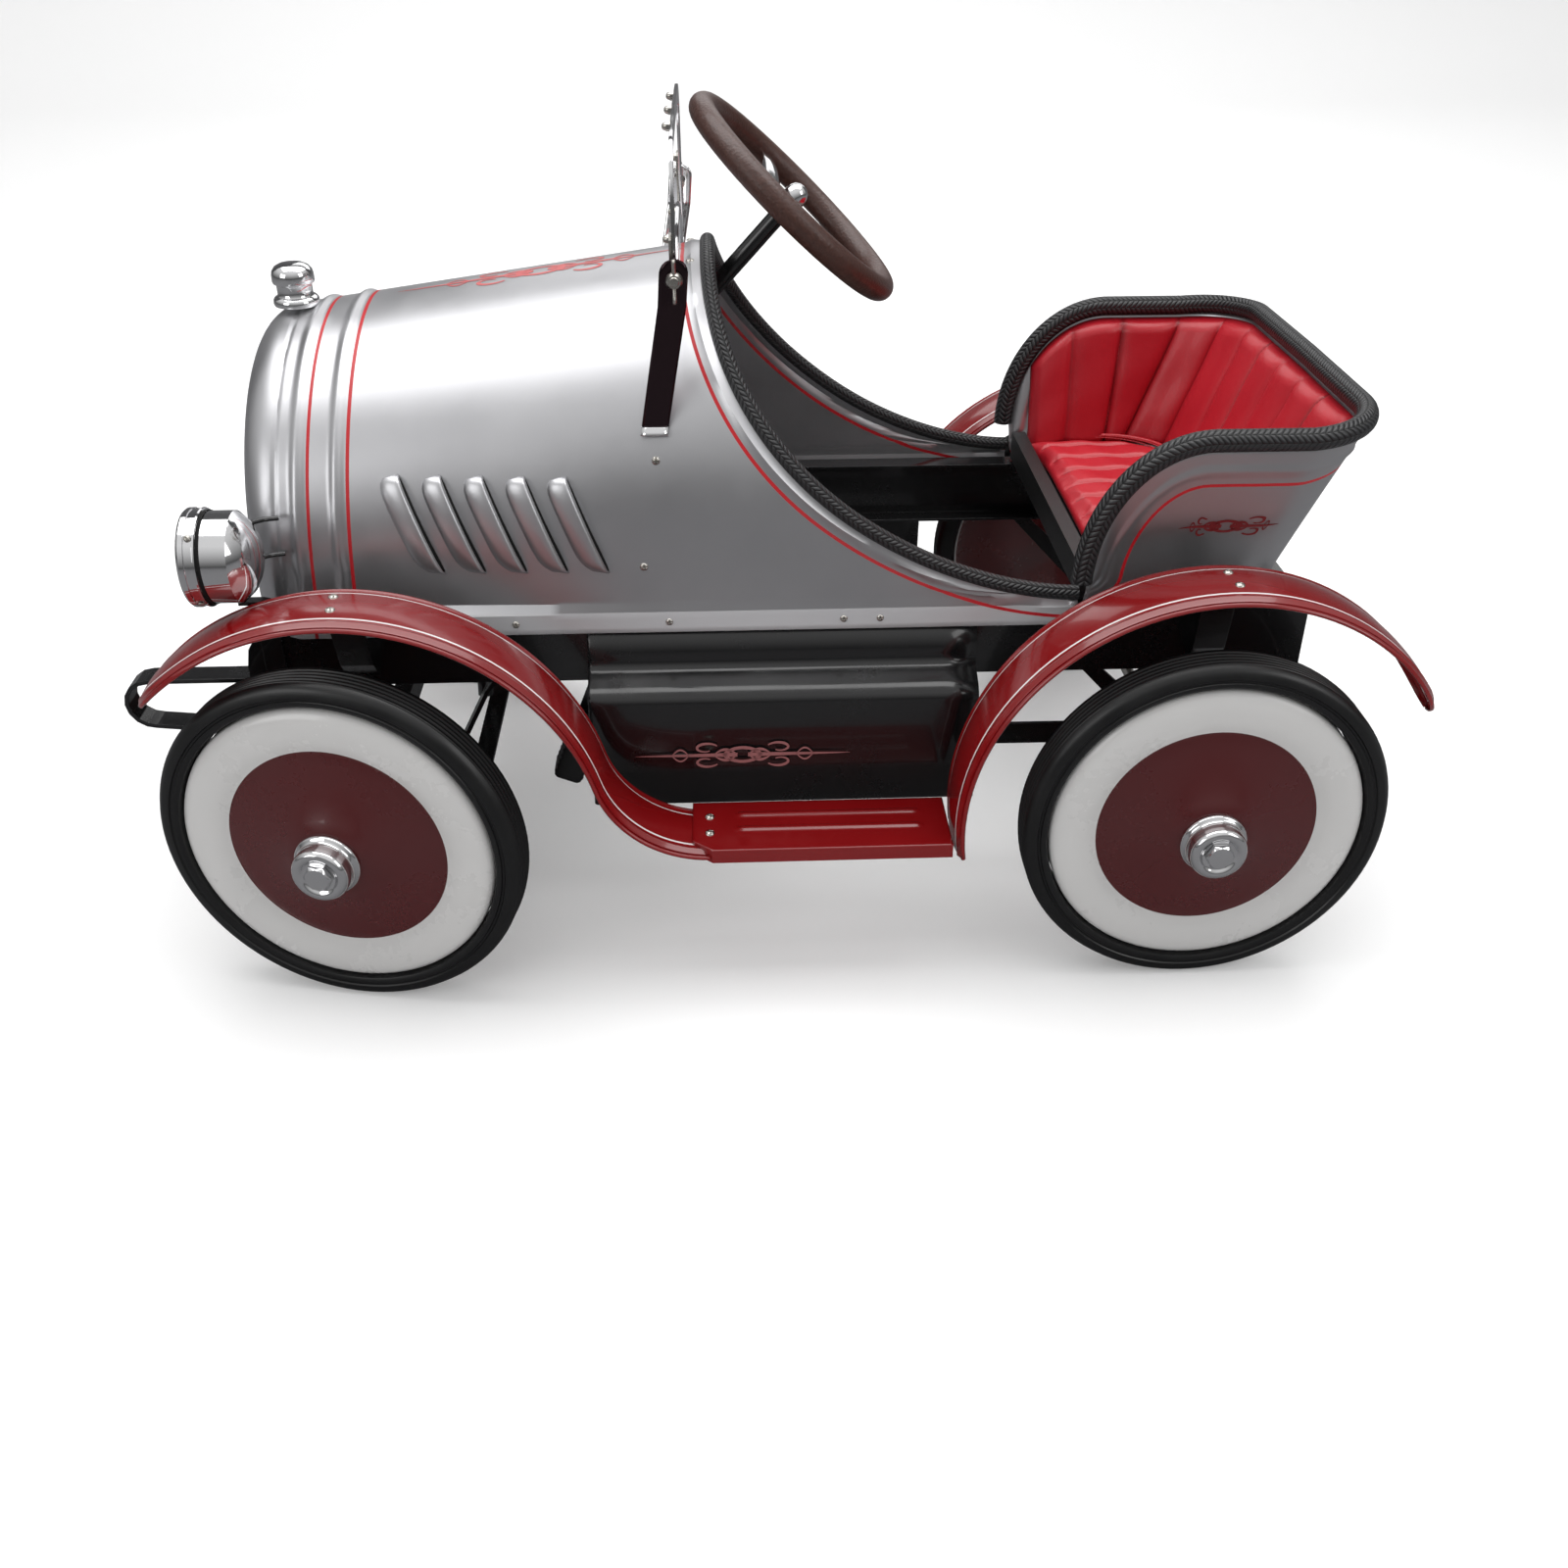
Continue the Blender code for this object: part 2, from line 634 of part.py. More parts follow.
def front_axle_beam():
    """A flat bar between two upright bosses that the kingpins turn in."""
    inner = KINGPIN_Y - 0.004
    beam = box("front_axle_beam", (KINGPIN_X - 0.007, -inner, TYRE_RADIUS - 0.010),
               (KINGPIN_X + 0.007, inner, TYRE_RADIUS + 0.010))
    bosses, bores = [], []
    for side in (-1, 1):
        for pieces, radius, height in ((bosses, BOSS_RADIUS, BOSS_HEIGHT), (bores, KINGPIN_RADIUS + 0.0004, 0.05)):
            low = (KINGPIN_X, side * KINGPIN_Y, TYRE_RADIUS - height / 2)
            high = (KINGPIN_X, side * KINGPIN_Y, TYRE_RADIUS + height / 2)
            pieces.append(cylinder("boss", low, high, radius))
    place(beam, "black_paint")
    combine(beam, bosses)
    combine(beam, bores, "DIFFERENCE")


def kingpin_empty(side):
    turn = Matrix.Rotation(math.radians(STEER_REST_DEG), 4, "Z")
    return pivot_empty("kingpin_" + side_name(side), (KINGPIN_X, side * KINGPIN_Y, TYRE_RADIUS), turn)


def knuckle(side, kingpin):
    """A fork with its kingpin, stub axle and steering arm, about the kingpin."""
    clear = BOSS_HEIGHT / 2 + 0.0006
    thick = 0.004
    plate_y = sorted((-side * 0.010, side * 0.0155))
    top = box("fork_top", (-0.009, plate_y[0], clear), (0.009, plate_y[1], clear + thick))
    low = box("fork_low", (-0.009, plate_y[0], -clear - thick), (0.009, plate_y[1], -clear))
    back_y = sorted((side * 0.0115, side * 0.0155))
    fork = box("knuckle_" + side_name(side), (-0.009, back_y[0], -clear - thick + 0.0005),
               (0.009, back_y[1], clear + thick - 0.0005))
    pin = cylinder("kingpin", (0, 0, -clear - thick + 0.001), (0, 0, clear + thick + 0.002), KINGPIN_RADIUS)
    reach = WHEEL_FACE_Y - KINGPIN_Y + AXLE_REACH
    stub = cylinder("stub", (0, side * 0.013, 0), (0, side * reach, 0), AXLE_RADIUS)
    arm = box("arm", (0.0, -0.007, -clear - thick + 0.0003), (STEER_ARM + 0.007, 0.007, -clear - 0.0003))
    ball = cylinder("arm_pin", (STEER_ARM, 0, -clear - 0.002), (STEER_ARM, 0, -clear + 0.0075), 0.003)
    fork.parent = kingpin
    place(fork, "black_paint", kingpin)
    combine(fork, [top, low, pin, stub, arm, ball])


def tie_rod():
    """The flat bar that keeps the two steering arms parallel."""
    shift = Matrix.Rotation(math.radians(STEER_REST_DEG), 4, "Z") @ Vector((STEER_ARM, 0, 0))
    z = TYRE_RADIUS - BOSS_HEIGHT / 2 - 0.0006 + 0.0004 + 0.0015
    centre = Matrix.Translation((KINGPIN_X + shift.x, shift.y, z))
    end = KINGPIN_Y + 0.008
    outline = [(-0.007, -end), (0.007, -end), (0.007, end), (-0.007, end)]
    holes = [circle((0, side * KINGPIN_Y), 0.0036, 10) for side in (-1, 1)]
    place(plate("tie_rod", [outline] + holes, 0.003, centre), "black_paint")


def column_axes():
    slope = math.radians(COLUMN_SLOPE_DEG)
    axis = Vector((math.cos(slope), 0.0, math.sin(slope)))
    across = Vector((math.sin(slope), 0.0, -math.cos(slope)))
    return axis, across


def column_point(distance):
    """A point on the column's axis, a distance below its shoulder."""
    axis, _ = column_axes()
    return Vector((FRONT_X + COLUMN_TOP[0], 0.0, COLUMN_TOP[1])) - axis * distance


def column_empty():
    """Its Z runs up the column and its X points to the front of the steering wheel."""
    axis, across = column_axes()
    basis = Matrix((
        (-across.x, 0.0, axis.x, 0.0), (0.0, -1.0, 0.0, 0.0), (-across.z, 0.0, axis.z, 0.0), (0, 0, 0, 1),
    ))
    turn = Matrix.Rotation(math.radians(COLUMN_REST_DEG), 4, "Z")
    return pivot_empty("column_axis", column_point(0.0), basis @ turn)


def steering_column(pivot):
    """A round rod, cranked at its foot, with a thinner threaded end for the wheel."""
    slope = math.radians(COLUMN_SLOPE_DEG)
    foot = column_point(COLUMN_LENGTH)
    toe_z = foot.z - COLUMN_CRANK * math.cos(slope)
    drop = toe_z - (TYRE_RADIUS - BOSS_HEIGHT / 2 + 0.0065)
    toe = Vector((-COLUMN_CRANK, 0.0, -COLUMN_LENGTH))
    tip = toe + drop * Vector((-math.cos(slope), 0.0, -math.sin(slope)))
    column = to_mesh(tube("steering_column", [tip, toe, (0, 0, -COLUMN_LENGTH), (0, 0, -0.2), (0, 0, 0)],
                          COLUMN_RADIUS))
    thread = cylinder("column_thread", (0, 0, -0.004), (0, 0, THREAD_LENGTH), THREAD_RADIUS)
    place(column, "black_paint", pivot)
    combine(column, [thread])


def steering_wheel(pivot):
    hub = 0.0008
    rim = turned(
        "steering_wheel_rim",
        [(WHEEL_RIM_RADIUS + WHEEL_RIM_TUBE * math.sin(a), WHEEL_DISH + WHEEL_RIM_TUBE * math.cos(a))
         for a in [2 * math.pi * i / 10 for i in range(10)]],
        32,
    )
    place(rim, "wood_grain", pivot)
    plate_disc = to_mesh(plate("steering_wheel_spokes", [circle((0, 0), 0.023, 18)], 0.0025,
                               Matrix.Translation((0, 0, hub + 0.00125))))
    end = WHEEL_RIM_RADIUS - WHEEL_RIM_TUBE - 0.0008
    spokes = []
    for i in range(3):
        turn = Matrix.Rotation(math.radians(60 + 120 * i), 4, "Z")
        path = [turn @ Vector(p) for p in ((0.012, 0, hub + 0.0012), (0.030, 0, hub + 0.002),
                                           (end - 0.018, 0, WHEEL_DISH - 0.004), (end, 0, WHEEL_DISH))]
        spokes.append(to_mesh(ribbon("spoke", path, 0.015, 0.002, turn @ Vector((0, 1, 0)))))
    bore = cylinder("hub_bore", (0, 0, -0.02), (0, 0, 0.03), THREAD_RADIUS + 0.0005)
    place(plate_disc, "chrome", pivot)
    combine(plate_disc, spokes)
    combine(plate_disc, [bore], "DIFFERENCE")
    low = hub + 0.0025 + 0.0008
    bore_corner = (THREAD_RADIUS + 0.0005) / math.cos(math.pi / 6)
    nut = turned(
        "steering_nut",
        [(0.0, low + 0.0215), (0.006, low + 0.0195), (0.0085, low + 0.014), (0.0098, low + 0.008),
         (0.0098, low), (bore_corner, low), (bore_corner, low + 0.0185), (0.0, low + 0.0185)],
        6, closed=False,
    )
    place(nut, "chrome", pivot)


# Wheels ---------------------------------------------------------------------------------------------------------


def wheel(place_name, matrix, parent=None):
    """A stamped disc, a solid tyre and a hub cap, with local Z pointing out of the car and 0 at the outer face."""
    inner = -TYRE_WIDTH + 0.006
    bore = AXLE_RADIUS + 0.0005
    disc = [
        (bore, HUB_RISE), (HUB_RADIUS, HUB_RISE), (0.032, 0.0085), (0.048, 0.0030), (0.062, -0.0012),
        (CENTRE_RADIUS, -CENTRE_DEPTH), (0.082, -0.0004), (0.094, 0.0010), (DISC_RADIUS - 0.004, -0.0012),
        (DISC_RADIUS, -0.006), (DISC_RADIUS, inner), (DISC_RADIUS - 0.002, inner), (DISC_RADIUS - 0.002, -0.0075),
        (CENTRE_RADIUS, -0.0062), (0.048, 0.0004), (0.030, 0.0062), (0.011, 0.0108), (0.011, inner - 0.008),
        (bore, inner - 0.008),
    ]
    seat = DISC_RADIUS + GAP
    tyre = [
        (seat, -0.0025), (DISC_RADIUS + 0.004, 0.0), (TYRE_RADIUS - 0.006, -0.0005), (TYRE_RADIUS - 0.001, -0.005),
        (TYRE_RADIUS, -0.010), (TYRE_RADIUS, -TYRE_WIDTH + 0.010), (TYRE_RADIUS - 0.001, -TYRE_WIDTH + 0.005),
        (TYRE_RADIUS - 0.006, -TYRE_WIDTH + 0.0005), (DISC_RADIUS + 0.004, -TYRE_WIDTH), (seat, -TYRE_WIDTH + 0.0025),
    ]
    base = HUB_RISE + GAP
    pocket = AXLE_REACH + 0.004
    cap = [
        (0.0, base + CAP_HEIGHT), (0.012, base + CAP_HEIGHT), (CAP_RADIUS - 0.002, base + CAP_HEIGHT - 0.002),
        (CAP_RADIUS, base + CAP_HEIGHT - 0.005), (CAP_RADIUS, base + 0.004), (HUB_RADIUS, base + 0.002),
        (HUB_RADIUS, base), (0.010, base), (0.010, pocket), (0.0, pocket),
    ]
    pieces = (
        (turned("wheel_disc_" + place_name, disc, WHEEL_STEPS), "disc_paint"),
        (turned("tyre_" + place_name, tyre, WHEEL_STEPS), "rubber"),
        (turned("hub_cap_" + place_name, cap, 20, closed=False), "chrome"),
    )
    for piece, finish in pieces:
        place(piece, finish, parent)
        piece.matrix_local = matrix


def outward(side, y):
    """A frame whose Z points out of the car's side, at a distance from its middle."""
    return Matrix.Translation((0, side * y, 0)) @ Matrix.Rotation(-side * math.pi / 2, 4, "X")


# Rear axle, pedals and push rods ----------------------------------------------------------------------------------


def rear_axle():
    """A round bar with two opposite cranks."""
    end = WHEEL_FACE_Y + AXLE_REACH
    path = [(0.0, -end), (0.0, -CRANK_OUTER_Y), (-CRANK_RADIUS, -CRANK_OUTER_Y), (-CRANK_RADIUS, -CRANK_INNER_Y),
            (0.0, -CRANK_INNER_Y), (0.0, CRANK_INNER_Y), (CRANK_RADIUS, CRANK_INNER_Y),
            (CRANK_RADIUS, CRANK_OUTER_Y), (0.0, CRANK_OUTER_Y), (0.0, end)]
    points = [(REAR_X + x, y, TYRE_RADIUS) for x, y in path]
    place(tube("rear_axle", points, CRANK_BAR), "nickel")


def rear_hanger(side):
    """A V of strap from the rail down to the eye that the rear axle turns in."""
    y = side * STRAP_Y
    top = RAIL_BOTTOM_Z - GAP
    outer, inner = 0.0115, 0.0062
    outline = [(-0.074, top), (-0.060, top), (-0.004, TYRE_RADIUS + 0.020), (0.006, top), (0.020, top),
               (0.0115, TYRE_RADIUS + 0.004)]
    for i in range(7):
        angle = -math.pi * i / 6
        outline.append((outer * math.cos(angle), TYRE_RADIUS + outer * math.sin(angle)))
    outline.append((-outer, TYRE_RADIUS + 0.006))
    hole = circle((0.0, TYRE_RADIUS), inner, 12)
    upright = Matrix.Translation((REAR_X, y, 0)) @ Matrix.Rotation(math.pi / 2, 4, "X")
    place(plate("rear_hanger_" + side_name(side), [outline, hole], 0.003, upright), "black_paint")


def pedal_cross_rod():
    reach = BODY_HALF_WIDTH - SHEET - GAP - RAIL_WALL - 0.0012
    x, z = FRONT_X + PEDAL_PIVOT[0], PEDAL_PIVOT[1]
    place(cylinder("pedal_cross_rod", (x, -reach, z), (x, reach, z), PEDAL_ROD_RADIUS), "black_paint")


def pedal(side):
    """A lever that hangs from the cross rod, with its rubber pad on a bolt at the foot."""
    lean = math.asin(PEDAL_SWING / PEDAL_REACH) * side
    swing = Matrix.Rotation(-lean, 4, "Y")
    hinge = pivot_empty("pedal_pivot_" + side_name(side), (FRONT_X + PEDAL_PIVOT[0], 0, PEDAL_PIVOT[1]), swing)
    foot = -PEDAL_REACH - 0.014
    outline = [(-0.008, foot), (0.008, foot), (0.008, -0.004)]
    outline += [(0.010 * math.cos(a), 0.010 * math.sin(a)) for a in [math.pi * i / 6 for i in range(7)]]
    outline.append((-0.008, -0.004))
    hole = circle((0.0, 0.0), PEDAL_ROD_RADIUS + 0.0006, 12)
    upright = Matrix.Translation((0, side * (PEDAL_Y + 0.0015), 0)) @ Matrix.Rotation(math.pi / 2, 4, "X")
    lever = to_mesh(plate("pedal_" + side_name(side), [outline, hole], 0.003, upright))
    ys = sorted((side * (PEDAL_Y + 0.0025), side * (PEDAL_Y + PEDAL_PAD_REACH)))
    pad = box("pedal_pad", (-0.011, ys[0], foot - 0.002), (0.011, ys[1], foot + 0.044))
    place(lever, "rubber", hinge)
    combine(lever, [pad])


def push_rod(side):
    """A flat bar with an eye round the crank pin; its front end lies beside the pedal lever."""
    lean = PEDAL_SWING * side
    drop = math.sqrt(PEDAL_REACH ** 2 - PEDAL_SWING ** 2)
    front = Vector((FRONT_X + PEDAL_PIVOT[0] + lean, PEDAL_PIVOT[1] - drop))
    back = Vector((REAR_X + CRANK_RADIUS * side, TYRE_RADIUS))
    along = back - front
    angle = math.atan2(along.y, along.x)
    half = PUSH_ROD_HEIGHT / 2
    outline = []
    for centre, start in ((along.length, -90), (0.0, 90)):
        for i in range(7):
            a = math.radians(start + 30 * i)
            outline.append((centre + half * math.cos(a), half * math.sin(a)))
    hole = circle((along.length, 0.0), CRANK_BAR + 0.0005, 12)
    basis = Matrix.Translation((front.x, side * PUSH_ROD_Y, front.y)) @ Matrix.Rotation(-angle, 4, "Y")
    basis = basis @ Matrix.Rotation(math.pi / 2, 4, "X")
    place(plate("push_rod_" + side_name(side), [outline, hole], 0.003, basis), "black_paint")


# Fenders, boards and aprons ---------------------------------------------------------------------------------------


def fender_band(name, side, path, offset):
    """A crowned band with turned-down edges along a path of (x, z, normal x, normal z, width share)."""
    middle = (FENDER_INNER_Y + FENDER_OUTER_Y) / 2
    half = (FENDER_OUTER_Y - FENDER_INNER_Y) / 2
    section = ((-1.0, -FENDER_LIP), (-0.96, -0.0005), (0.0, FENDER_CROWN), (0.96, -0.0005), (1.0, -FENDER_LIP))
    rows = []
    for x, z, nx, nz, share in path:
        row = []
        for across, rise in section:
            lift = rise * min(1.0, share * 1.5)
            row.append((x + nx * lift, side * (middle + across * half * share), z + nz * lift))
        rows.append(row)
    if side > 0:
        rows = [list(reversed(row)) for row in rows]
    place(loft(name, rows, SHEET * 0.8, offset), "red_paint")


def tip_share(distance):
    """How much of its full width a fender has at a distance from its rounded tip."""
    reach = 0.060
    left = max(0.0, 1.0 - distance / reach)
    return max(0.10, math.sqrt(max(0.0, 1.0 - left ** 2.2)))


def rear_fender(side):
    path = []
    sweep = 188.0 - FENDER_TIP_DEG
    count = 22
    for i in range(count + 1):
        share = (i / count) ** 1.15
        angle = math.radians(FENDER_TIP_DEG + sweep * share)
        nx, nz = math.cos(angle), math.sin(angle)
        travelled = FENDER_RADIUS * math.radians(sweep) * share
        path.append((REAR_X + FENDER_RADIUS * nx, TYRE_RADIUS + FENDER_RADIUS * nz, nx, nz, tip_share(travelled)))
    fender_band("rear_fender_" + side_name(side), side, path, 1.0)


def front_fender(side):
    """A round sweep over the wheel that runs out through a hollow curve to the running board."""
    centre = (FRONT_X + 0.0145, FRONT_FENDER_Z)
    low = BOARD_Z - SHEET - FENDER_CROWN - 0.0014
    hollow_z = low + FENDER_SWEEP_RADIUS
    reach = FENDER_RADIUS + FENDER_SWEEP_RADIUS
    rise = hollow_z - centre[1]
    hollow_x = centre[0] + math.sqrt(reach ** 2 - rise ** 2)
    turn = math.atan2(rise, hollow_x - centre[0])
    start = math.radians(FRONT_TIP_DEG)
    path = []
    count = 18
    for i in range(count + 1):
        share = (i / count) ** 1.15
        angle = start + (turn - start) * share
        nx, nz = math.cos(angle), math.sin(angle)
        travelled = FENDER_RADIUS * (start - turn) * share
        path.append((centre[0] + FENDER_RADIUS * nx, centre[1] + FENDER_RADIUS * nz, nx, nz, tip_share(travelled)))
    bends = 7
    for i in range(1, bends + 1):
        angle = turn + math.pi + (math.pi / 2 - turn) * i / bends
        nx, nz = math.cos(angle), math.sin(angle)
        x, z = hollow_x + FENDER_SWEEP_RADIUS * nx, hollow_z + FENDER_SWEEP_RADIUS * nz
        path.append((x, z, -nx, -nz, 1.0))
    fender_band("front_fender_" + side_name(side), side, path, -1.0)


def running_board(side):
    """A flat step with a turned-down outer edge, from the front fender to the rear one."""
    front, rear = FRONT_X + BOARD_FRONT, REAR_X - FENDER_RADIUS - 0.0035
    ys = sorted((side * FENDER_INNER_Y, side * FENDER_OUTER_Y))
    board = box("running_board_" + side_name(side), (front, ys[0], BOARD_Z - SHEET), (rear, ys[1], BOARD_Z))
    ys = sorted((side * FENDER_OUTER_Y, side * (FENDER_OUTER_Y - SHEET)))
    lip = box("board_lip", (front + 0.014, ys[0], BOARD_Z - BOARD_LIP), (rear, ys[1], BOARD_Z - SHEET / 2))
    place(board, "red_paint")
    combine(board, [lip])


def side_apron(side):
    """A folded sheet from the frame rail out over a ridge and down to the running board."""
    outer = BODY_HALF_WIDTH - SHEET + SHEET * 0.5 + 0.0002
    section = [
        (outer, BODY_BOTTOM_Z - GAP * 2),
        (outer, APRON_RIDGE_Z + 0.008),
        (APRON_RIDGE_Y - 0.004, APRON_RIDGE_Z + 0.001),
        (APRON_RIDGE_Y, APRON_RIDGE_Z - 0.003),
        (FENDER_INNER_Y - 0.0022, BOARD_Z - 0.004),
    ]
    rows = [[(FRONT_X + x, side * y, z) for y, z in section] for x in (APRON_FRONT, APRON_REAR)]
    place(loft("side_apron_" + side_name(side), rows, 0.0012, offset=0.0), "black_paint")


# Lamps and windscreen ---------------------------------------------------------------------------------------------


def headlamp(side):
    """A drum lamp that faces forwards, with a stepped back, on a curved bracket from the rail."""
    front, half = LAMP_LENGTH / 2, LAMP_RADIUS
    drum = turned(
        "lamp_" + side_name(side),
        [(0.0, front - 0.003), (half - 0.003, front), (half, front - 0.002), (half, front - 0.012),
         (half - 0.003, front - 0.014), (half - 0.003, -front + 0.016), (half - 0.006, -front + 0.014),
         (0.012, -front), (0.004, -front), (0.004, -front + 0.0015), (half - 0.0078, -front + 0.0155),
         (half - 0.0048, -front + 0.0175), (half - 0.0048, front - 0.006), (0.0, front - 0.006)],
        20, closed=False,
    )
    x, y, z = FRONT_X + LAMP[0], side * LAMP[1], LAMP[2]
    drum.matrix_world = Matrix.Translation((x, y, z)) @ Matrix.Rotation(-math.pi / 2, 4, "Y")
    place(drum, "chrome")
    low = z - LAMP_RADIUS - 0.0018
    wall = BODY_HALF_WIDTH - SHEET + 0.0014
    path = [(wall, RAIL_BOTTOM_Z + 0.006), (wall, FLANGE_TOP_Z + 0.004), (wall + 0.006, low - 0.008),
            (LAMP[1] - 0.010, low - 0.001), (LAMP[1], low)]
    points = [(x + 0.008, side * across, height) for across, height in path]
    bracket = ribbon("lamp_bracket_" + side_name(side), points, 0.014, 0.0024, (1.0, 0.0, 0.0))
    place(bracket, "black_paint")


def windscreen_bracket(side):
    """An upright strap from the hood to the windscreen pivot."""
    foot_x, foot_y = BRACKET_FOOT_X, BRACKET_FOOT_Y
    half_width, top = hood_size(foot_x)
    foot_z = top - half_width + math.sqrt(half_width ** 2 - foot_y ** 2) + GAP
    tilt = (PIVOT[0] - foot_x) / (PIVOT[1] - foot_z)
    path = []
    for y, z in ((foot_y, foot_z), (BRACKET_Y, PIVOT[1] - 0.016), (BRACKET_Y, PIVOT[1] + 0.006),
                 (BRACKET_Y, PIVOT[1] + 0.013)):
        path.append((FRONT_X + foot_x + (z - foot_z) * tilt, side * (y + 0.001), z))
    half = 0.009
    rows = [[(x - half * w, y, z), (x + half * w, y, z)] for (x, y, z), w in zip(path, (1.0, 1.0, 1.0, 0.5))]
    strap = to_mesh(loft("windscreen_bracket_" + side_name(side), rows, 0.002, offset=0.0))
    pivot = (FRONT_X + PIVOT[0], 0, PIVOT[1])
    bore = cylinder("bracket_bore", (pivot[0], side * 0.13, pivot[2]), (pivot[0], side * 0.16, pivot[2]),
                    STUD_RADIUS + 0.0006)
    place(strap, "chrome")
    combine(strap, [bore], "DIFFERENCE")


def screen_line():
    """The middle line (y, z) of the windscreen strip, about its pivot, as one closed loop."""
    half = SCREEN_HALF_WIDTH - SCREEN_STRIP / 2
    top = SCREEN_TOP_RISE - SCREEN_STRIP / 2
    low = -SCREEN_DROP + SCREEN_STRIP / 2
    shoulder, heel = 0.030, 0.014
    right = [(0.0, top)]
    for i in range(5):
        a = math.pi / 2 * (1 - i / 4)
        corner = (half - 0.010 - shoulder, top - 0.002 - shoulder)
        right.append((corner[0] + shoulder * math.cos(a), corner[1] + shoulder * math.sin(a)))
    for i in range(6):
        a = -math.pi / 2 * i / 5 * 1.25
        right.append((half - heel + heel * math.cos(a), low + heel + heel * math.sin(a)))
    crest = 0.008
    span = right[-1][0]
    sag = crest - right[-1][1]
    for i in range(1, 7):
        share = i / 6
        y = span * (1 - share)
        right.append((y, crest - sag * (y / span) ** 2))
    return right[:-1] + [(0.0, crest)] + [(-y, z) for y, z in reversed(right[1:-1])]


def offset_loop(points, distance):
    """The loop moved sideways by a distance."""
    moved = []
    count = len(points)
    for i, (y, z) in enumerate(points):
        before, after = points[i - 1], points[(i + 1) % count]
        along = Vector((after[0] - before[0], after[1] - before[1])).normalized()
        moved.append((y - along.y * distance, z + along.x * distance))
    return moved


def windscreen_frame():
    """A flat chromed loop of strip with side plates, clamp studs and wing nuts."""
    line = screen_line()
    facing = Matrix(((0, 0, 1, FRONT_X + PIVOT[0]), (1, 0, 0, 0), (0, 1, 0, PIVOT[1]), (0, 0, 0, 1)))
    half = SCREEN_STRIP / 2
    loop = [offset_loop(line, half), offset_loop(line, -half)]
    frame = to_mesh(plate("windscreen_frame", loop, SCREEN_THICKNESS, facing))
    extras = []
    x, z = FRONT_X + PIVOT[0], PIVOT[1]
    for side in (-1, 1):
        ys = sorted((side * (SCREEN_HALF_WIDTH - 0.014), side * (SCREEN_HALF_WIDTH + 0.0005)))
        extras.append(box("screen_plate", (x - 0.0028, ys[0], z - 0.024), (x - 0.0005, ys[1], z + 0.024)))
        inner, outer = side * (SCREEN_HALF_WIDTH - 0.006), side * (BRACKET_Y + 0.009)
        extras.append(cylinder("screen_stud", (x, inner, z), (x, outer, z), STUD_RADIUS, 10))
        start = BRACKET_Y + 0.0032
        extras.append(cylinder("wing_nut", (x, side * start, z), (x, side * (start + 0.0045), z), 0.0052, 10))
        ys = sorted((side * (start + 0.0008), side * (start + 0.0038)))
        extras.append(box("wing", (x - 0.0014, ys[0], z - 0.013), (x + 0.0014, ys[1], z + 0.013)))
    place(frame, "chrome")
    combine(frame, extras)


def build():
    body_shell()
    radiator_shell()
    radiator_grille()
    radiator_cap()
    cockpit_trim()
    seat_tub()
    seat_rim_trim()
    back_cushion()
    seat_board()
    seat_cushion()
    cross_member("rear_cross_member", RAIL_REAR - 0.012, RAIL_BOTTOM_Z + 0.0025, RAIL_TOP_Z - 0.0025, 0.0115)
    column_plate("dash_bracket", 0.104, BODY_HALF_WIDTH - 0.051, 0.026)
    column_plate("steering_cross_member", 0.358, BODY_HALF_WIDTH - 0.0055, 0.028)
    front_axle_beam()
    tie_rod()
    column_pivot = column_empty()
    steering_column(column_pivot)
    steering_wheel(column_pivot)
    rear_axle()
    pedal_cross_rod()
    for side in (-1, 1):
        name = side_name(side)
        frame_rail(side)
        axle_strap(side)
        kingpin = kingpin_empty(side)
        knuckle(side, kingpin)
        wheel("front_" + name, outward(side, WHEEL_FACE_Y - KINGPIN_Y), kingpin)
        wheel("rear_" + name, Matrix.Translation((REAR_X, 0, TYRE_RADIUS)) @ outward(side, WHEEL_FACE_Y))
        rear_hanger(side)
        pedal(side)
        push_rod(side)
        front_fender(side)
        rear_fender(side)
        running_board(side)
        side_apron(side)
        headlamp(side)
        windscreen_bracket(side)
    windscreen_frame()


build()
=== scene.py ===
"""Looks of a child's pedal car: satin silver body, red fenders, padded red seat, chromed fittings and disc wheels.

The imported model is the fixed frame. Every piece below is built in its place, in metres, with -X forwards and +Z up.
"""

import json
import math

import bmesh
import bpy
import numpy as np
from mathutils import Euler, Matrix, Vector


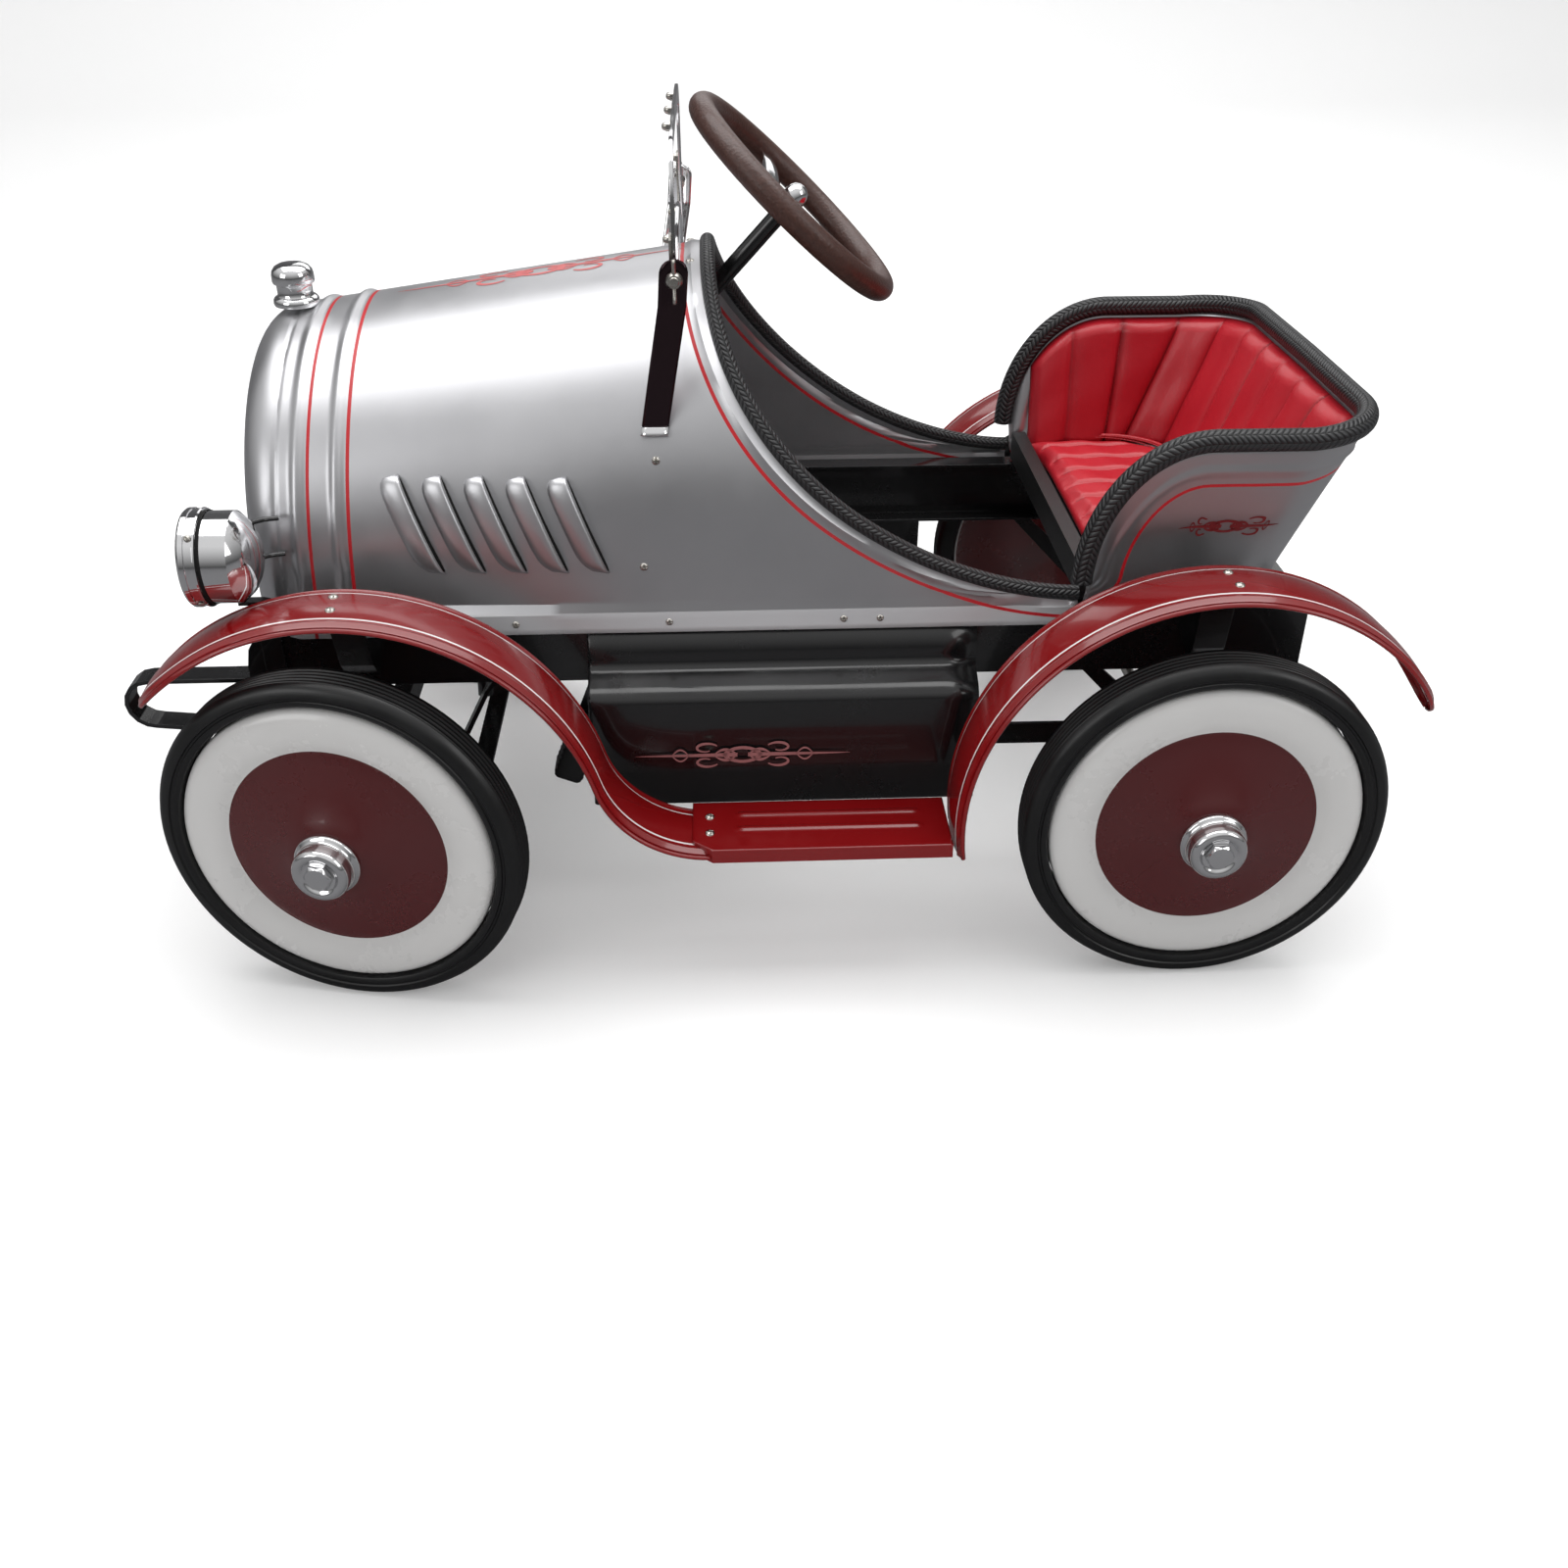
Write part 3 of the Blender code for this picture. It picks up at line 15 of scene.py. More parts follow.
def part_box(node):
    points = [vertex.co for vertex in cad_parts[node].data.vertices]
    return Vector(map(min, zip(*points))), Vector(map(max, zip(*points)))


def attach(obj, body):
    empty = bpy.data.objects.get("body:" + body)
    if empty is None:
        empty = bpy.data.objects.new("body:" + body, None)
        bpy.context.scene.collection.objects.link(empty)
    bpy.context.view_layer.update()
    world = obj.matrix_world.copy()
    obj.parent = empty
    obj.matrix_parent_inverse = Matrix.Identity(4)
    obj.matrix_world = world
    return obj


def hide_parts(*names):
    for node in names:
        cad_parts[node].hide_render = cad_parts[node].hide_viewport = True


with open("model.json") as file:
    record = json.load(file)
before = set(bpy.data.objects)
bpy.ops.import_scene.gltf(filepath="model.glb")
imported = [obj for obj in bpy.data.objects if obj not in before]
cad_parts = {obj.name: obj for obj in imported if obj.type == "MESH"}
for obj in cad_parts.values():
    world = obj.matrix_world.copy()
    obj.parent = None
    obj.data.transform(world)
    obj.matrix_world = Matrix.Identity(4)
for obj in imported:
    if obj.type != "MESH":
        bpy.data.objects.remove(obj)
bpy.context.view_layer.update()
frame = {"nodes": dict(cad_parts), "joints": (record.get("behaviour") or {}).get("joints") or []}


# Studio: a pale floor that runs up behind the car and is painted dark grey where the car reflects it, one broad soft
# light overhead, two soft fills and a viewpoint above the left side of the car.


def studio_light(name, place, target, size, power):
    lamp = bpy.data.lights.new(name, "AREA")
    lamp.shape = "RECTANGLE"
    lamp.size, lamp.size_y = size
    lamp.energy = power
    holder = bpy.data.objects.new(name, lamp)
    bpy.context.scene.collection.objects.link(holder)
    holder.location = place
    holder.rotation_euler = (Vector(target) - Vector(place)).to_track_quat("-Z", "Y").to_euler()


def link_piece(name, points, faces):
    mesh = bpy.data.meshes.new(name)
    mesh.from_pydata([tuple(p) for p in points], [], faces)
    mesh.update()
    piece = bpy.data.objects.new(name, mesh)
    bpy.context.scene.collection.objects.link(piece)
    return piece


def studio():
    sweep = []
    for y, z in ((-6.0, 0.0), (2.2, 0.0), (2.9, 0.12), (3.3, 0.5), (3.5, 1.2), (3.5, 5.0)):
        sweep.append([(-7.0, y, z), (7.0, y, z)])
    points = [p for row in sweep for p in row]
    faces = [(2 * i, 2 * i + 1, 2 * i + 3, 2 * i + 2) for i in range(len(sweep) - 1)]
    floor = link_piece("studio_floor", points, faces)
    floor.data.shade_smooth()
    paper = bpy.data.materials.new("studio_paper_dark_in_reflections")
    paper.use_nodes = True
    shader = paper.node_tree.nodes["Principled BSDF"]
    tone = paper.node_tree.nodes.new("ShaderNodeMix")
    tone.data_type = "RGBA"
    # Painted reflection: the floor is dark grey for glossy rays only, so the car's paint and chrome reflect a dark
    # floor.
    ray = paper.node_tree.nodes.new("ShaderNodeLightPath")
    paper.node_tree.links.new(ray.outputs["Is Glossy Ray"], tone.inputs["Factor"])
    tone.inputs[6].default_value = (0.86, 0.86, 0.86, 1.0)
    tone.inputs[7].default_value = (0.17, 0.17, 0.175, 1.0)
    paper.node_tree.links.new(tone.outputs[2], shader.inputs["Base Color"])
    shader.inputs["Emission Color"].default_value = (1.0, 1.0, 1.0, 1.0)
    glow = paper.node_tree.nodes.new("ShaderNodeMath")
    glow.operation = "MULTIPLY"
    glow.inputs[1].default_value = 0.16
    paper.node_tree.links.new(ray.outputs["Is Camera Ray"], glow.inputs[0])
    paper.node_tree.links.new(glow.outputs[0], shader.inputs["Emission Strength"])
    shader.inputs["Roughness"].default_value = 0.9
    shader.inputs["Specular IOR Level"].default_value = 0.1
    floor.data.materials.append(paper)
    studio_light("overhead", (0.0, 0.35, 2.6), (0.0, 0.0, 0.2), (3.4, 2.2), 62.0)
    studio_light("left_fill", (-2.4, -2.2, 1.5), (0.0, 0.0, 0.25), (1.6, 1.6), 16.0)
    studio_light("right_fill", (2.6, -1.6, 1.8), (0.1, 0.0, 0.25), (1.4, 1.6), 14.0)
    studio_light("back_fill", (0.4, 2.6, 1.8), (0.0, 0.0, 0.3), (2.6, 1.4), 14.0)
    world = bpy.data.worlds.new("studio_room")
    world.use_nodes = True
    bpy.context.scene.world = world
    tree = world.node_tree
    where = tree.nodes.new("ShaderNodeTexCoord")
    split = tree.nodes.new("ShaderNodeSeparateXYZ")
    ramp = tree.nodes.new("ShaderNodeValToRGB")
    tree.links.new(where.outputs["Generated"], split.inputs["Vector"])
    lift = tree.nodes.new("ShaderNodeMath")
    lift.operation = "MULTIPLY_ADD"
    lift.inputs[1].default_value = 0.5
    lift.inputs[2].default_value = 0.5
    tree.links.new(split.outputs["Z"], lift.inputs[0])
    tree.links.new(lift.outputs[0], ramp.inputs["Fac"])
    stops = ramp.color_ramp.elements
    stops[0].position, stops[0].color = 0.48, (0.10, 0.10, 0.10, 1.0)
    stops[1].position, stops[1].color = 0.86, (1.0, 1.0, 1.0, 1.0)
    tree.links.new(ramp.outputs["Color"], tree.nodes["Background"].inputs["Color"])
    tree.nodes["Background"].inputs["Strength"].default_value = 0.75
    pale_wall = tree.nodes.new("ShaderNodeBackground")
    pale_wall.inputs["Color"].default_value = (0.95, 0.95, 0.95, 1.0)
    seen = tree.nodes.new("ShaderNodeLightPath")
    either = tree.nodes.new("ShaderNodeMixShader")
    tree.links.new(seen.outputs["Is Camera Ray"], either.inputs[0])
    tree.links.new(tree.nodes["Background"].outputs[0], either.inputs[1])
    tree.links.new(pale_wall.outputs[0], either.inputs[2])
    tree.links.new(either.outputs[0], tree.nodes["World Output"].inputs["Surface"])
    camera = bpy.data.cameras.new("viewpoint")
    camera.lens = 34.85
    camera.sensor_width = 36.0
    holder = bpy.data.objects.new("viewpoint", camera)
    bpy.context.scene.collection.objects.link(holder)
    holder.location = (-0.0288, -1.0835, 0.7032)
    holder.rotation_euler = (math.radians(90.0 - 32.4), 0.0, -0.0437)
    bpy.context.scene.camera = holder
    bpy.context.scene.view_settings.view_transform = "Standard"


studio()


# Hood and cowl: one rolled sheet of satin silver steel, with two raised beads round the nose, a turned-out foot
# along both sides and a soft bead that follows the cockpit opening. Red lines are painted beside the beads.


STATIONS_TO_REAR_AXLE = 0.585
rear_low, rear_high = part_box("tyre_rear_left")
rear_x = (rear_low.x + rear_high.x) / 2
axle_z = (rear_low.z + rear_high.z) / 2
datum = rear_x - STATIONS_TO_REAR_AXLE


def colour(red, green, blue):
    """An everyday 0 to 255 colour as linear light."""
    return tuple(((c / 255 + 0.055) / 1.055) ** 2.4 if c > 10 else c / 255 / 12.92 for c in (red, green, blue))


def shader_group(name, inputs, outputs):
    group = bpy.data.node_groups.new(name, "ShaderNodeTree")
    for label, kind in inputs:
        group.interface.new_socket(name=label, in_out="INPUT", socket_type=kind)
    for label, kind in outputs:
        group.interface.new_socket(name=label, in_out="OUTPUT", socket_type=kind)
    return group, group.nodes.new("NodeGroupInput"), group.nodes.new("NodeGroupOutput")


def node(tree, kind, settings=None, **inputs):
    """A node with its settings, and its inputs given as values or as sockets to link."""
    made = tree.nodes.new(kind)
    for label, value in (settings or {}).items():
        setattr(made, label, value)
    for label, value in inputs.items():
        label = label.replace("_", " ")
        socket = made.inputs[int(label[1:])] if label[0] == "n" and label[1:].isdigit() else made.inputs[label]
        if isinstance(value, bpy.types.NodeSocket):
            tree.links.new(value, socket)
        else:
            socket.default_value = value
    return made


def math_of(tree, operation, first, second=0.0, third=0.0):
    return node(tree, "ShaderNodeMath", {"operation": operation}, n0=first, n1=second, n2=third).outputs[0]


def handling_marks_group():
    """Soft blotches and fine specks: a roughness between two values, a height and a tone."""
    kinds = [("Vector", "NodeSocketVector"), ("Scale", "NodeSocketFloat"), ("Low", "NodeSocketFloat"),
             ("High", "NodeSocketFloat")]
    outs = [("Roughness", "NodeSocketFloat"), ("Height", "NodeSocketFloat"), ("Tone", "NodeSocketFloat")]
    group, given, result = shader_group("handling_marks", kinds, outs)
    broad = node(group, "ShaderNodeTexNoise", Vector=given.outputs["Vector"], Scale=given.outputs["Scale"],
                 Detail=4.0, Roughness=0.6)
    fine_scale = math_of(group, "MULTIPLY", given.outputs["Scale"], 23.0)
    fine = node(group, "ShaderNodeTexNoise", Vector=given.outputs["Vector"], Scale=fine_scale, Detail=3.0)
    mixed = math_of(group, "MULTIPLY_ADD", fine.outputs["Fac"], 0.15,
                    math_of(group, "MULTIPLY", broad.outputs["Fac"], 0.85))
    spread = node(group, "ShaderNodeMapRange", n0=mixed, n1=0.36, n2=0.64, n3=given.outputs["Low"],
                  n4=given.outputs["High"])
    group.links.new(spread.outputs[0], result.inputs["Roughness"])
    group.links.new(fine.outputs["Fac"], result.inputs["Height"])
    group.links.new(broad.outputs["Fac"], result.inputs["Tone"])
    return group


HANDLING_MARKS = handling_marks_group()


def new_finish(name, base, metallic=0.0, coat=0.0, sheen=0.0):
    made = bpy.data.materials.new(name)
    made.use_nodes = True
    shader = made.node_tree.nodes["Principled BSDF"]
    shader.inputs["Base Color"].default_value = (*base, 1.0)
    shader.inputs["Metallic"].default_value = metallic
    shader.inputs["Coat Weight"].default_value = coat
    shader.inputs["Coat Roughness"].default_value = 0.06
    shader.inputs["Sheen Weight"].default_value = sheen
    return made, made.node_tree, shader


def marked(tree, shader, scale, low, high, bump, coords=None):
    """Gives a finish its handling marks, and returns the marks node."""
    where = coords or node(tree, "ShaderNodeTexCoord").outputs["Object"]
    marks = tree.nodes.new("ShaderNodeGroup")
    marks.node_tree = HANDLING_MARKS
    tree.links.new(where, marks.inputs["Vector"])
    marks.inputs["Scale"].default_value = scale
    marks.inputs["Low"].default_value = low
    marks.inputs["High"].default_value = high
    tree.links.new(marks.outputs["Roughness"], shader.inputs["Roughness"])
    if bump:
        relief = node(tree, "ShaderNodeBump", Strength=bump, Distance=0.0004, Height=marks.outputs["Height"])
        tree.links.new(relief.outputs["Normal"], shader.inputs["Normal"])
    return marks


def mix_colour(tree, factor, first, second):
    mixer = node(tree, "ShaderNodeMix", {"data_type": "RGBA"}, Factor=factor)
    for socket, value in ((mixer.inputs[6], first), (mixer.inputs[7], second)):
        if isinstance(value, bpy.types.NodeSocket):
            tree.links.new(value, socket)
        else:
            socket.default_value = (*value, 1.0)
    return mixer.outputs[2]


LINE_RED = colour(186, 24, 34)
NOSE_LEAN = 0.055
NOSE_LINES = ((-0.0072, 0.0011), (0.0192, 0.0012))
EDGE_LINE = (0.0172, 0.0012)
TAIL_LINE = (0.0250, 0.0011)
FOOT_STRIP_TOP = 0.2500
FOOT_STRIP_WEAR = 0.7
BARE_METAL = 0.92


def silver_finish(name, lines):
    """Satin silver paint over steel, with its fine grain and the painted red lines."""
    made, tree, shader = new_finish(name, (0.6, 0.6, 0.6), metallic=BARE_METAL)
    where = node(tree, "ShaderNodeTexCoord").outputs["Object"]
    marks = marked(tree, shader, 9.0, 0.33, 0.41, 0.03, where)
    grey = mix_colour(tree, marks.outputs["Tone"], colour(184, 184, 187), colour(204, 204, 206))
    mask = None
    for socket, centre, half in lines(tree, where):
        here = math_of(tree, "COMPARE", socket, centre, half)
        mask = here if mask is None else math_of(tree, "MAXIMUM", mask, here)
    tree.links.new(mix_colour(tree, mask, grey, LINE_RED), shader.inputs["Base Color"])
    height = node(tree, "ShaderNodeSeparateXYZ", Vector=where).outputs["Z"]
    foot = math_of(tree, "LESS_THAN", height, FOOT_STRIP_TOP)
    covered = math_of(tree, "MAXIMUM", mask, math_of(tree, "MULTIPLY", foot, FOOT_STRIP_WEAR))
    bare = math_of(tree, "MULTIPLY_ADD", covered, -BARE_METAL, BARE_METAL)
    tree.links.new(bare, shader.inputs["Metallic"])
    return made


def surface_value(tree, name):
    """A number kept on the surface, such as the distance to an edge."""
    return node(tree, "ShaderNodeAttribute", {"attribute_name": name}).outputs["Fac"]


def nose_and_edge_lines(tree, where):
    split = node(tree, "ShaderNodeSeparateXYZ", Vector=where)
    leaned = math_of(tree, "MULTIPLY_ADD", split.outputs["Z"], -NOSE_LEAN, split.outputs["X"])
    found = [(leaned, datum + x - NOSE_LEAN * 0.37, half) for x, half in NOSE_LINES]
    gap = surface_value(tree, "edge_gap")
    return found + [(gap, *EDGE_LINE)]


def tail_lines(tree, where):
    gap = surface_value(tree, "edge_gap")
    return [(gap, *TAIL_LINE)]


SILVER = silver_finish("satin_silver_hood", nose_and_edge_lines)
SILVER_TAIL = silver_finish("satin_silver_tail", tail_lines)

HOOD = {"nose_half": 0.141, "cowl_half": 0.148, "nose_top": 0.424, "cowl_top": 0.456, "nose_front": -0.056,
        "nose_rear": 0.020, "cowl_rear": 0.2505, "cockpit_rear": 0.503, "sill": 0.258, "foot_low": 0.235,
        "foot_top": 0.250}


def hood_size(x):
    share = np.minimum((x - HOOD["nose_rear"]) / (HOOD["cowl_rear"] - HOOD["nose_rear"]), 1.0)
    half = HOOD["nose_half"] + (HOOD["cowl_half"] - HOOD["nose_half"]) * share
    top = HOOD["nose_top"] + (HOOD["cowl_top"] - HOOD["nose_top"]) * share
    return half, top


def cockpit_edge(angle):
    """Point (x, z) on the cockpit's edge, from the cowl's top at 0 to the rear of the sill at a right angle."""
    power = 2 / 1.75
    run = HOOD["cockpit_rear"] - HOOD["cowl_rear"] - 0.005
    drop = HOOD["cowl_top"] - HOOD["sill"]
    x = HOOD["cockpit_rear"] - run * np.cos(angle) ** power
    z = HOOD["cowl_top"] - drop * np.sin(angle) ** power
    return x, z


def on_hood(side, x, z, lift=0.0):
    """A point on the hood at a station and height, on one side, lifted off the sheet."""
    half, top = hood_size(x)
    spring = top - half
    if z <= spring:
        return (datum + x, side * (half + lift), z)
    angle = math.asin(min((z - spring) / half, 1.0))
    return (datum + x, side * (half + lift) * math.cos(angle), spring + (half + lift) * math.sin(angle))


def grid_piece(name, grid, wrap=False, flip=False, attributes=None, smooth_deg=40.0):
    """A sheet through a grid of points, one row after another, with its vertex attributes."""
    grid = np.asarray(grid, float)
    rows, cols = grid.shape[:2]
    faces = []
    for i in range(rows - 1):
        for j in range(cols if wrap else cols - 1):
            k = (j + 1) % cols
            face = (i * cols + j, i * cols + k, (i + 1) * cols + k, (i + 1) * cols + j)
            faces.append(tuple(reversed(face)) if flip else face)
    piece = link_piece(name, grid.reshape(-1, 3), faces)
    for label, values in (attributes or {}).items():
        layer = piece.data.attributes.new(label, "FLOAT", "POINT")
        layer.data.foreach_set("value", np.asarray(values, np.float32).reshape(-1))
    piece.data.shade_smooth()
    piece.data.set_sharp_from_angle(angle=math.radians(smooth_deg))
    return piece


def thicken(piece, thickness):
    wall = piece.modifiers.new("Wall", "SOLIDIFY")
    wall.thickness = thickness
    wall.offset = -1.0
    return piece


def dress(piece, body, material, slot, *nodes):
    """Gives a finished piece its finish, body and the solids that it stands for. The slot is not used."""
    piece.data.materials.clear()
    piece.data.materials.append(material)
    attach(piece, body)
    if nodes:
        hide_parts(*nodes)
    return piece


def bulge(distance, centre, half, height):
    """A rounded bead of a height across a distance."""
    share = np.clip(np.abs(distance - centre) / half, 0.0, 1.0)
    return height * np.cos(share * math.pi / 2) ** 2


def hood_grid():
    low, top = HOOD["foot_low"], HOOD["foot_top"]
    feet = [low, low + 0.004, low + 0.010, top - 0.001]
    walls = np.concatenate([[0.0], np.linspace(0.06, 1.0, 12)])
    arch = np.radians(np.linspace(0.0, 180.0, 85))
    nose = HOOD["nose_front"]
    turn = np.radians(np.linspace(-28.0, 90.0, 15))
    stations = [(nose + 0.022 * (1 - math.cos(a)), 0.022 * (1 - math.sin(a))) for a in turn]
    stations += [(x, 0.0) for x in np.linspace(nose + 0.0235, HOOD["nose_rear"] + 0.006, 46)]
    shares = np.linspace(0.0, 1.0, 62)[1:]
    start = stations[-1][0]
    edge = np.array([cockpit_edge(a) for a in np.linspace(0.0, math.pi / 2, 500)])
    edge_sides = []
    for x, z in edge:
        edge_sides.append(on_hood(-1, x, z))
    edge_sides = np.array(edge_sides)

    def rear_of(z):
        if z <= HOOD["sill"] + 0.0001:
            return HOOD["cockpit_rear"]
        return float(np.interp(z, edge[::-1, 1], edge[::-1, 0]))

    columns = []
    for z in feet:
        columns.append(("foot", z))
    for t in walls:
        columns.append(("wall", t))
    for a in arch[1:-1]:
        columns.append(("arch", a))
    for t in reversed(walls):
        columns.append(("far_wall", t))
    for z in reversed(feet):
        columns.append(("far_foot", z))
    grid, gaps = [], []
    for kind, value in columns:
        side = 1 if kind.startswith("far") or (kind == "arch" and value > math.pi / 2) else -1
        base = kind.replace("far_", "")
        cowl_spring = HOOD["cowl_top"] - HOOD["cowl_half"]
        if base == "foot":
            level = value
        elif base == "wall":
            level = top + 0.005 + (cowl_spring - top - 0.005) * value
        else:
            level = cowl_spring + HOOD["cowl_half"] * math.sin(value)
        rear = rear_of(level)
        xs = [s for s in stations] + [(start + (rear - start) * t, 0.0) for t in shares]
        line = []
        for x, inset in xs:
            half, crown = hood_size(x)
            spring = crown - half
            lean = x - NOSE_LEAN * ((level if base != "arch" else spring + half * math.sin(value)) - 0.37)
            lift = bulge(lean, -0.0148, 0.0060, 0.0021) + bulge(lean, 0.0112, 0.0055, 0.0021)
            lift += bulge(lean, -0.0290, 0.0022, -0.0007)
            reach = half - inset + lift
            if base == "foot":
                z = value
                blend = min(max((x - nose - 0.010) / 0.02, 0.0), 1.0)
                y = reach + (HOOD["cowl_half"] + 0.0012 - reach) * blend
            elif base == "wall":
                z = top + 0.005 + (spring - top - 0.005) * value
                y = reach
            else:
                y = reach * abs(math.cos(value))
                z = spring + reach * math.sin(value)
            line.append((datum + x, side * y, z))
        line = np.array(line)
        near = line * np.array([1.0, 1.0 if side < 0 else -1.0, 1.0])
        gap = np.min(np.linalg.norm(near[:, None, :] - edge_sides[None, :, :], axis=2), axis=1)
        bead = bulge(gap, 0.0100, 0.0040, 0.0022)
        line[:, 1] += side * bead * (1.0 if base != "arch" else abs(math.cos(value)))
        line[:, 2] += bead * (math.sin(value) if base == "arch" else 0.0)
        grid.append(line)
        gaps.append(gap)
    return np.array(grid), np.array(gaps)


def hood():
    grid, gaps = hood_grid()
    piece = grid_piece("hood_and_cowl", grid, attributes={"edge_gap": gaps}, smooth_deg=35.0)
    thicken(piece, 0.0014)
    dress(piece, "car", SILVER, "silver_body", "body_shell", "radiator_shell")


hood()


# Louvres: five pressed vents in each side of the hood, each a hooded blister that opens to the rear over a dark slit of
# painted shade.


LOUVRE_COUNT = 5
LOUVRE_PITCH = 0.0273
LOUVRE_TOP = (0.0510, 0.3432)
LOUVRE_FOOT = (0.0760, 0.2785)
LOUVRE_WIDTH = 0.0160
LOUVRE_RISE = 0.0062


def black_finish(name, tone, low, high, coat):
    made, tree, shader = new_finish(name, tone, coat=coat)
    marked(tree, shader, 14.0, low, high, 0.015)
    return made


BLACK_PAINT = black_finish("gloss_black_paint", (0.0065, 0.0065, 0.007), 0.13, 0.30, 0.35)
# Painted shade: a flat near-black for the louvre openings, the radiator core behind the bars and the lamp groove.
SHADOW_BLACK = black_finish("painted_shade_black", (0.002, 0.002, 0.002), 0.8, 0.95, 0.0)


def louvre_point(side, index, across, along, lift):
    top_x, top_z = LOUVRE_TOP
    foot_x, foot_z = LOUVRE_FOOT
    x = top_x + (foot_x - top_x) * along - across + index * LOUVRE_PITCH
    return on_hood(side, x, top_z + (foot_z - top_z) * along, lift)


def louvres(side, label):
    hoods, slits = [], []
    for index in range(LOUVRE_COUNT):
        rows, dark = [], []
        for v in np.linspace(-1.0, 1.0, 25):
            full = max(1.0 - abs(v) ** 7.0, 0.0) ** 0.5
            along = (v + 1) / 2
            row = []
            for u in np.linspace(0.0, 1.0, 11):
                across = LOUVRE_WIDTH * full * (1.0 - (1 - math.cos(u * math.pi / 2)))
                lift = LOUVRE_RISE * full * math.sin(u * math.pi / 2) ** 0.9 - 0.0002
                row.append(louvre_point(side, index, across, along, lift))
            tuck = LOUVRE_RISE * full * 0.92 - 0.0002
            row.append(louvre_point(side, index, 0.0022 * full, along, tuck))
            rows.append(row)
            # The slit is a near-black strip of painted shade under the open rear edge of each louvre.
            dark.append([louvre_point(side, index, 0.0045 * full, along, 0.0004),
                         louvre_point(side, index, -0.0012 * full, along, 0.0004)])
        hoods.append(rows)
        slits.append(dark)
    for stem, sets, finish, wall in (("louvre", hoods, SILVER, 0.0007), ("louvre_slit", slits, SHADOW_BLACK, 0.0002)):
        points, faces = [], []
        for rows in sets:
            start = len(points)
            cols = len(rows[0])
            points += [p for row in rows for p in row]
            for i in range(len(rows) - 1):
                for j in range(cols - 1):
                    a = start + i * cols + j
                    face = (a, a + 1, a + cols + 1, a + cols)
                    faces.append(face if side < 0 else tuple(reversed(face)))
        piece = link_piece(f"{stem}s_{label}", points, faces)
        layer = piece.data.attributes.new("edge_gap", "FLOAT", "POINT")
        layer.data.foreach_set("value", np.full(len(points), 0.1, np.float32))
        piece.data.shade_smooth()
        thicken(piece, wall)
        dress(piece, "car", finish, "silver_body" if stem == "louvre" else "black_paint")


for side, label in ((-1, "left"), (1, "right")):
    louvres(side, label)


# Radiator: a chromed grille of upright bars in front of a dark core of painted shade, held inside the rolled nose, and
# a chromed cap with a domed knob that screws into the top.


def chrome_finish(name, base, low, high):
    made, tree, shader = new_finish(name, base, metallic=1.0)
    marks = marked(tree, shader, 26.0, low, high, 0.02)
    tone = mix_colour(tree, marks.outputs["Tone"], tuple(c * 0.93 for c in base), base)
    tree.links.new(tone, shader.inputs["Base Color"])
    return made


CHROME = chrome_finish("bright_chrome", (0.83, 0.83, 0.84), 0.035, 0.10)
STEEL = chrome_finish("zinc_steel", (0.52, 0.50, 0.46), 0.20, 0.34)


def plain_mesh(holder, name):
    """The evaluated result of a holder's modifiers as a plain piece, and the holder removed."""
    bpy.context.view_layer.update()
    graph = bpy.context.evaluated_depsgraph_get()
    mesh = bpy.data.meshes.new_from_object(holder.evaluated_get(graph))
    mesh.name = name
    bpy.data.objects.remove(holder, do_unlink=True)
    piece = bpy.data.objects.new(name, mesh)
    bpy.context.scene.collection.objects.link(piece)
    return piece


def copies_tree():
    """Sets one small part at each point, turned by the point's own angles and stretched by its own size."""
    tree = bpy.data.node_groups.new("set_small_parts", "GeometryNodeTree")
    sockets = {}
    for label, kind in (("Places", "NodeSocketGeometry"), ("Part", "NodeSocketObject"),
                        ("Finish", "NodeSocketMaterial")):
        sockets[label] = tree.interface.new_socket(name=label, in_out="INPUT", socket_type=kind).identifier
    tree.interface.new_socket(name="Geometry", in_out="OUTPUT", socket_type="NodeSocketGeometry")
    given, result = tree.nodes.new("NodeGroupInput"), tree.nodes.new("NodeGroupOutput")
    part = tree.nodes.new("GeometryNodeObjectInfo")
    tree.links.new(given.outputs["Part"], part.inputs["Object"])
    place = tree.nodes.new("GeometryNodeInstanceOnPoints")
    turn = tree.nodes.new("GeometryNodeInputNamedAttribute")
    turn.data_type = "FLOAT_VECTOR"
    turn.inputs["Name"].default_value = "turn"
    size = tree.nodes.new("GeometryNodeInputNamedAttribute")
    size.data_type = "FLOAT_VECTOR"
    size.inputs["Name"].default_value = "size"
    tree.links.new(given.outputs["Places"], place.inputs["Points"])
    tree.links.new(part.outputs["Geometry"], place.inputs["Instance"])
    tree.links.new(turn.outputs["Attribute"], place.inputs["Rotation"])
    tree.links.new(size.outputs["Attribute"], place.inputs["Scale"])
    real = tree.nodes.new("GeometryNodeRealizeInstances")
    tree.links.new(place.outputs["Instances"], real.inputs["Geometry"])
    coat = tree.nodes.new("GeometryNodeSetMaterial")
    tree.links.new(real.outputs["Geometry"], coat.inputs["Geometry"])
    tree.links.new(given.outputs["Finish"], coat.inputs["Material"])
    tree.links.new(coat.outputs["Geometry"], result.inputs["Geometry"])
    return tree, sockets


COPIES_TREE, COPIES_SOCKETS = copies_tree()


def small_part(name, points, faces):
    """A small part kept out of sight, to be copied by the nodes."""
    part = link_piece(name, points, faces)
    part.data.shade_smooth()
    part.data.set_sharp_from_angle(angle=math.radians(35))
    part.hide_render = True
    return part


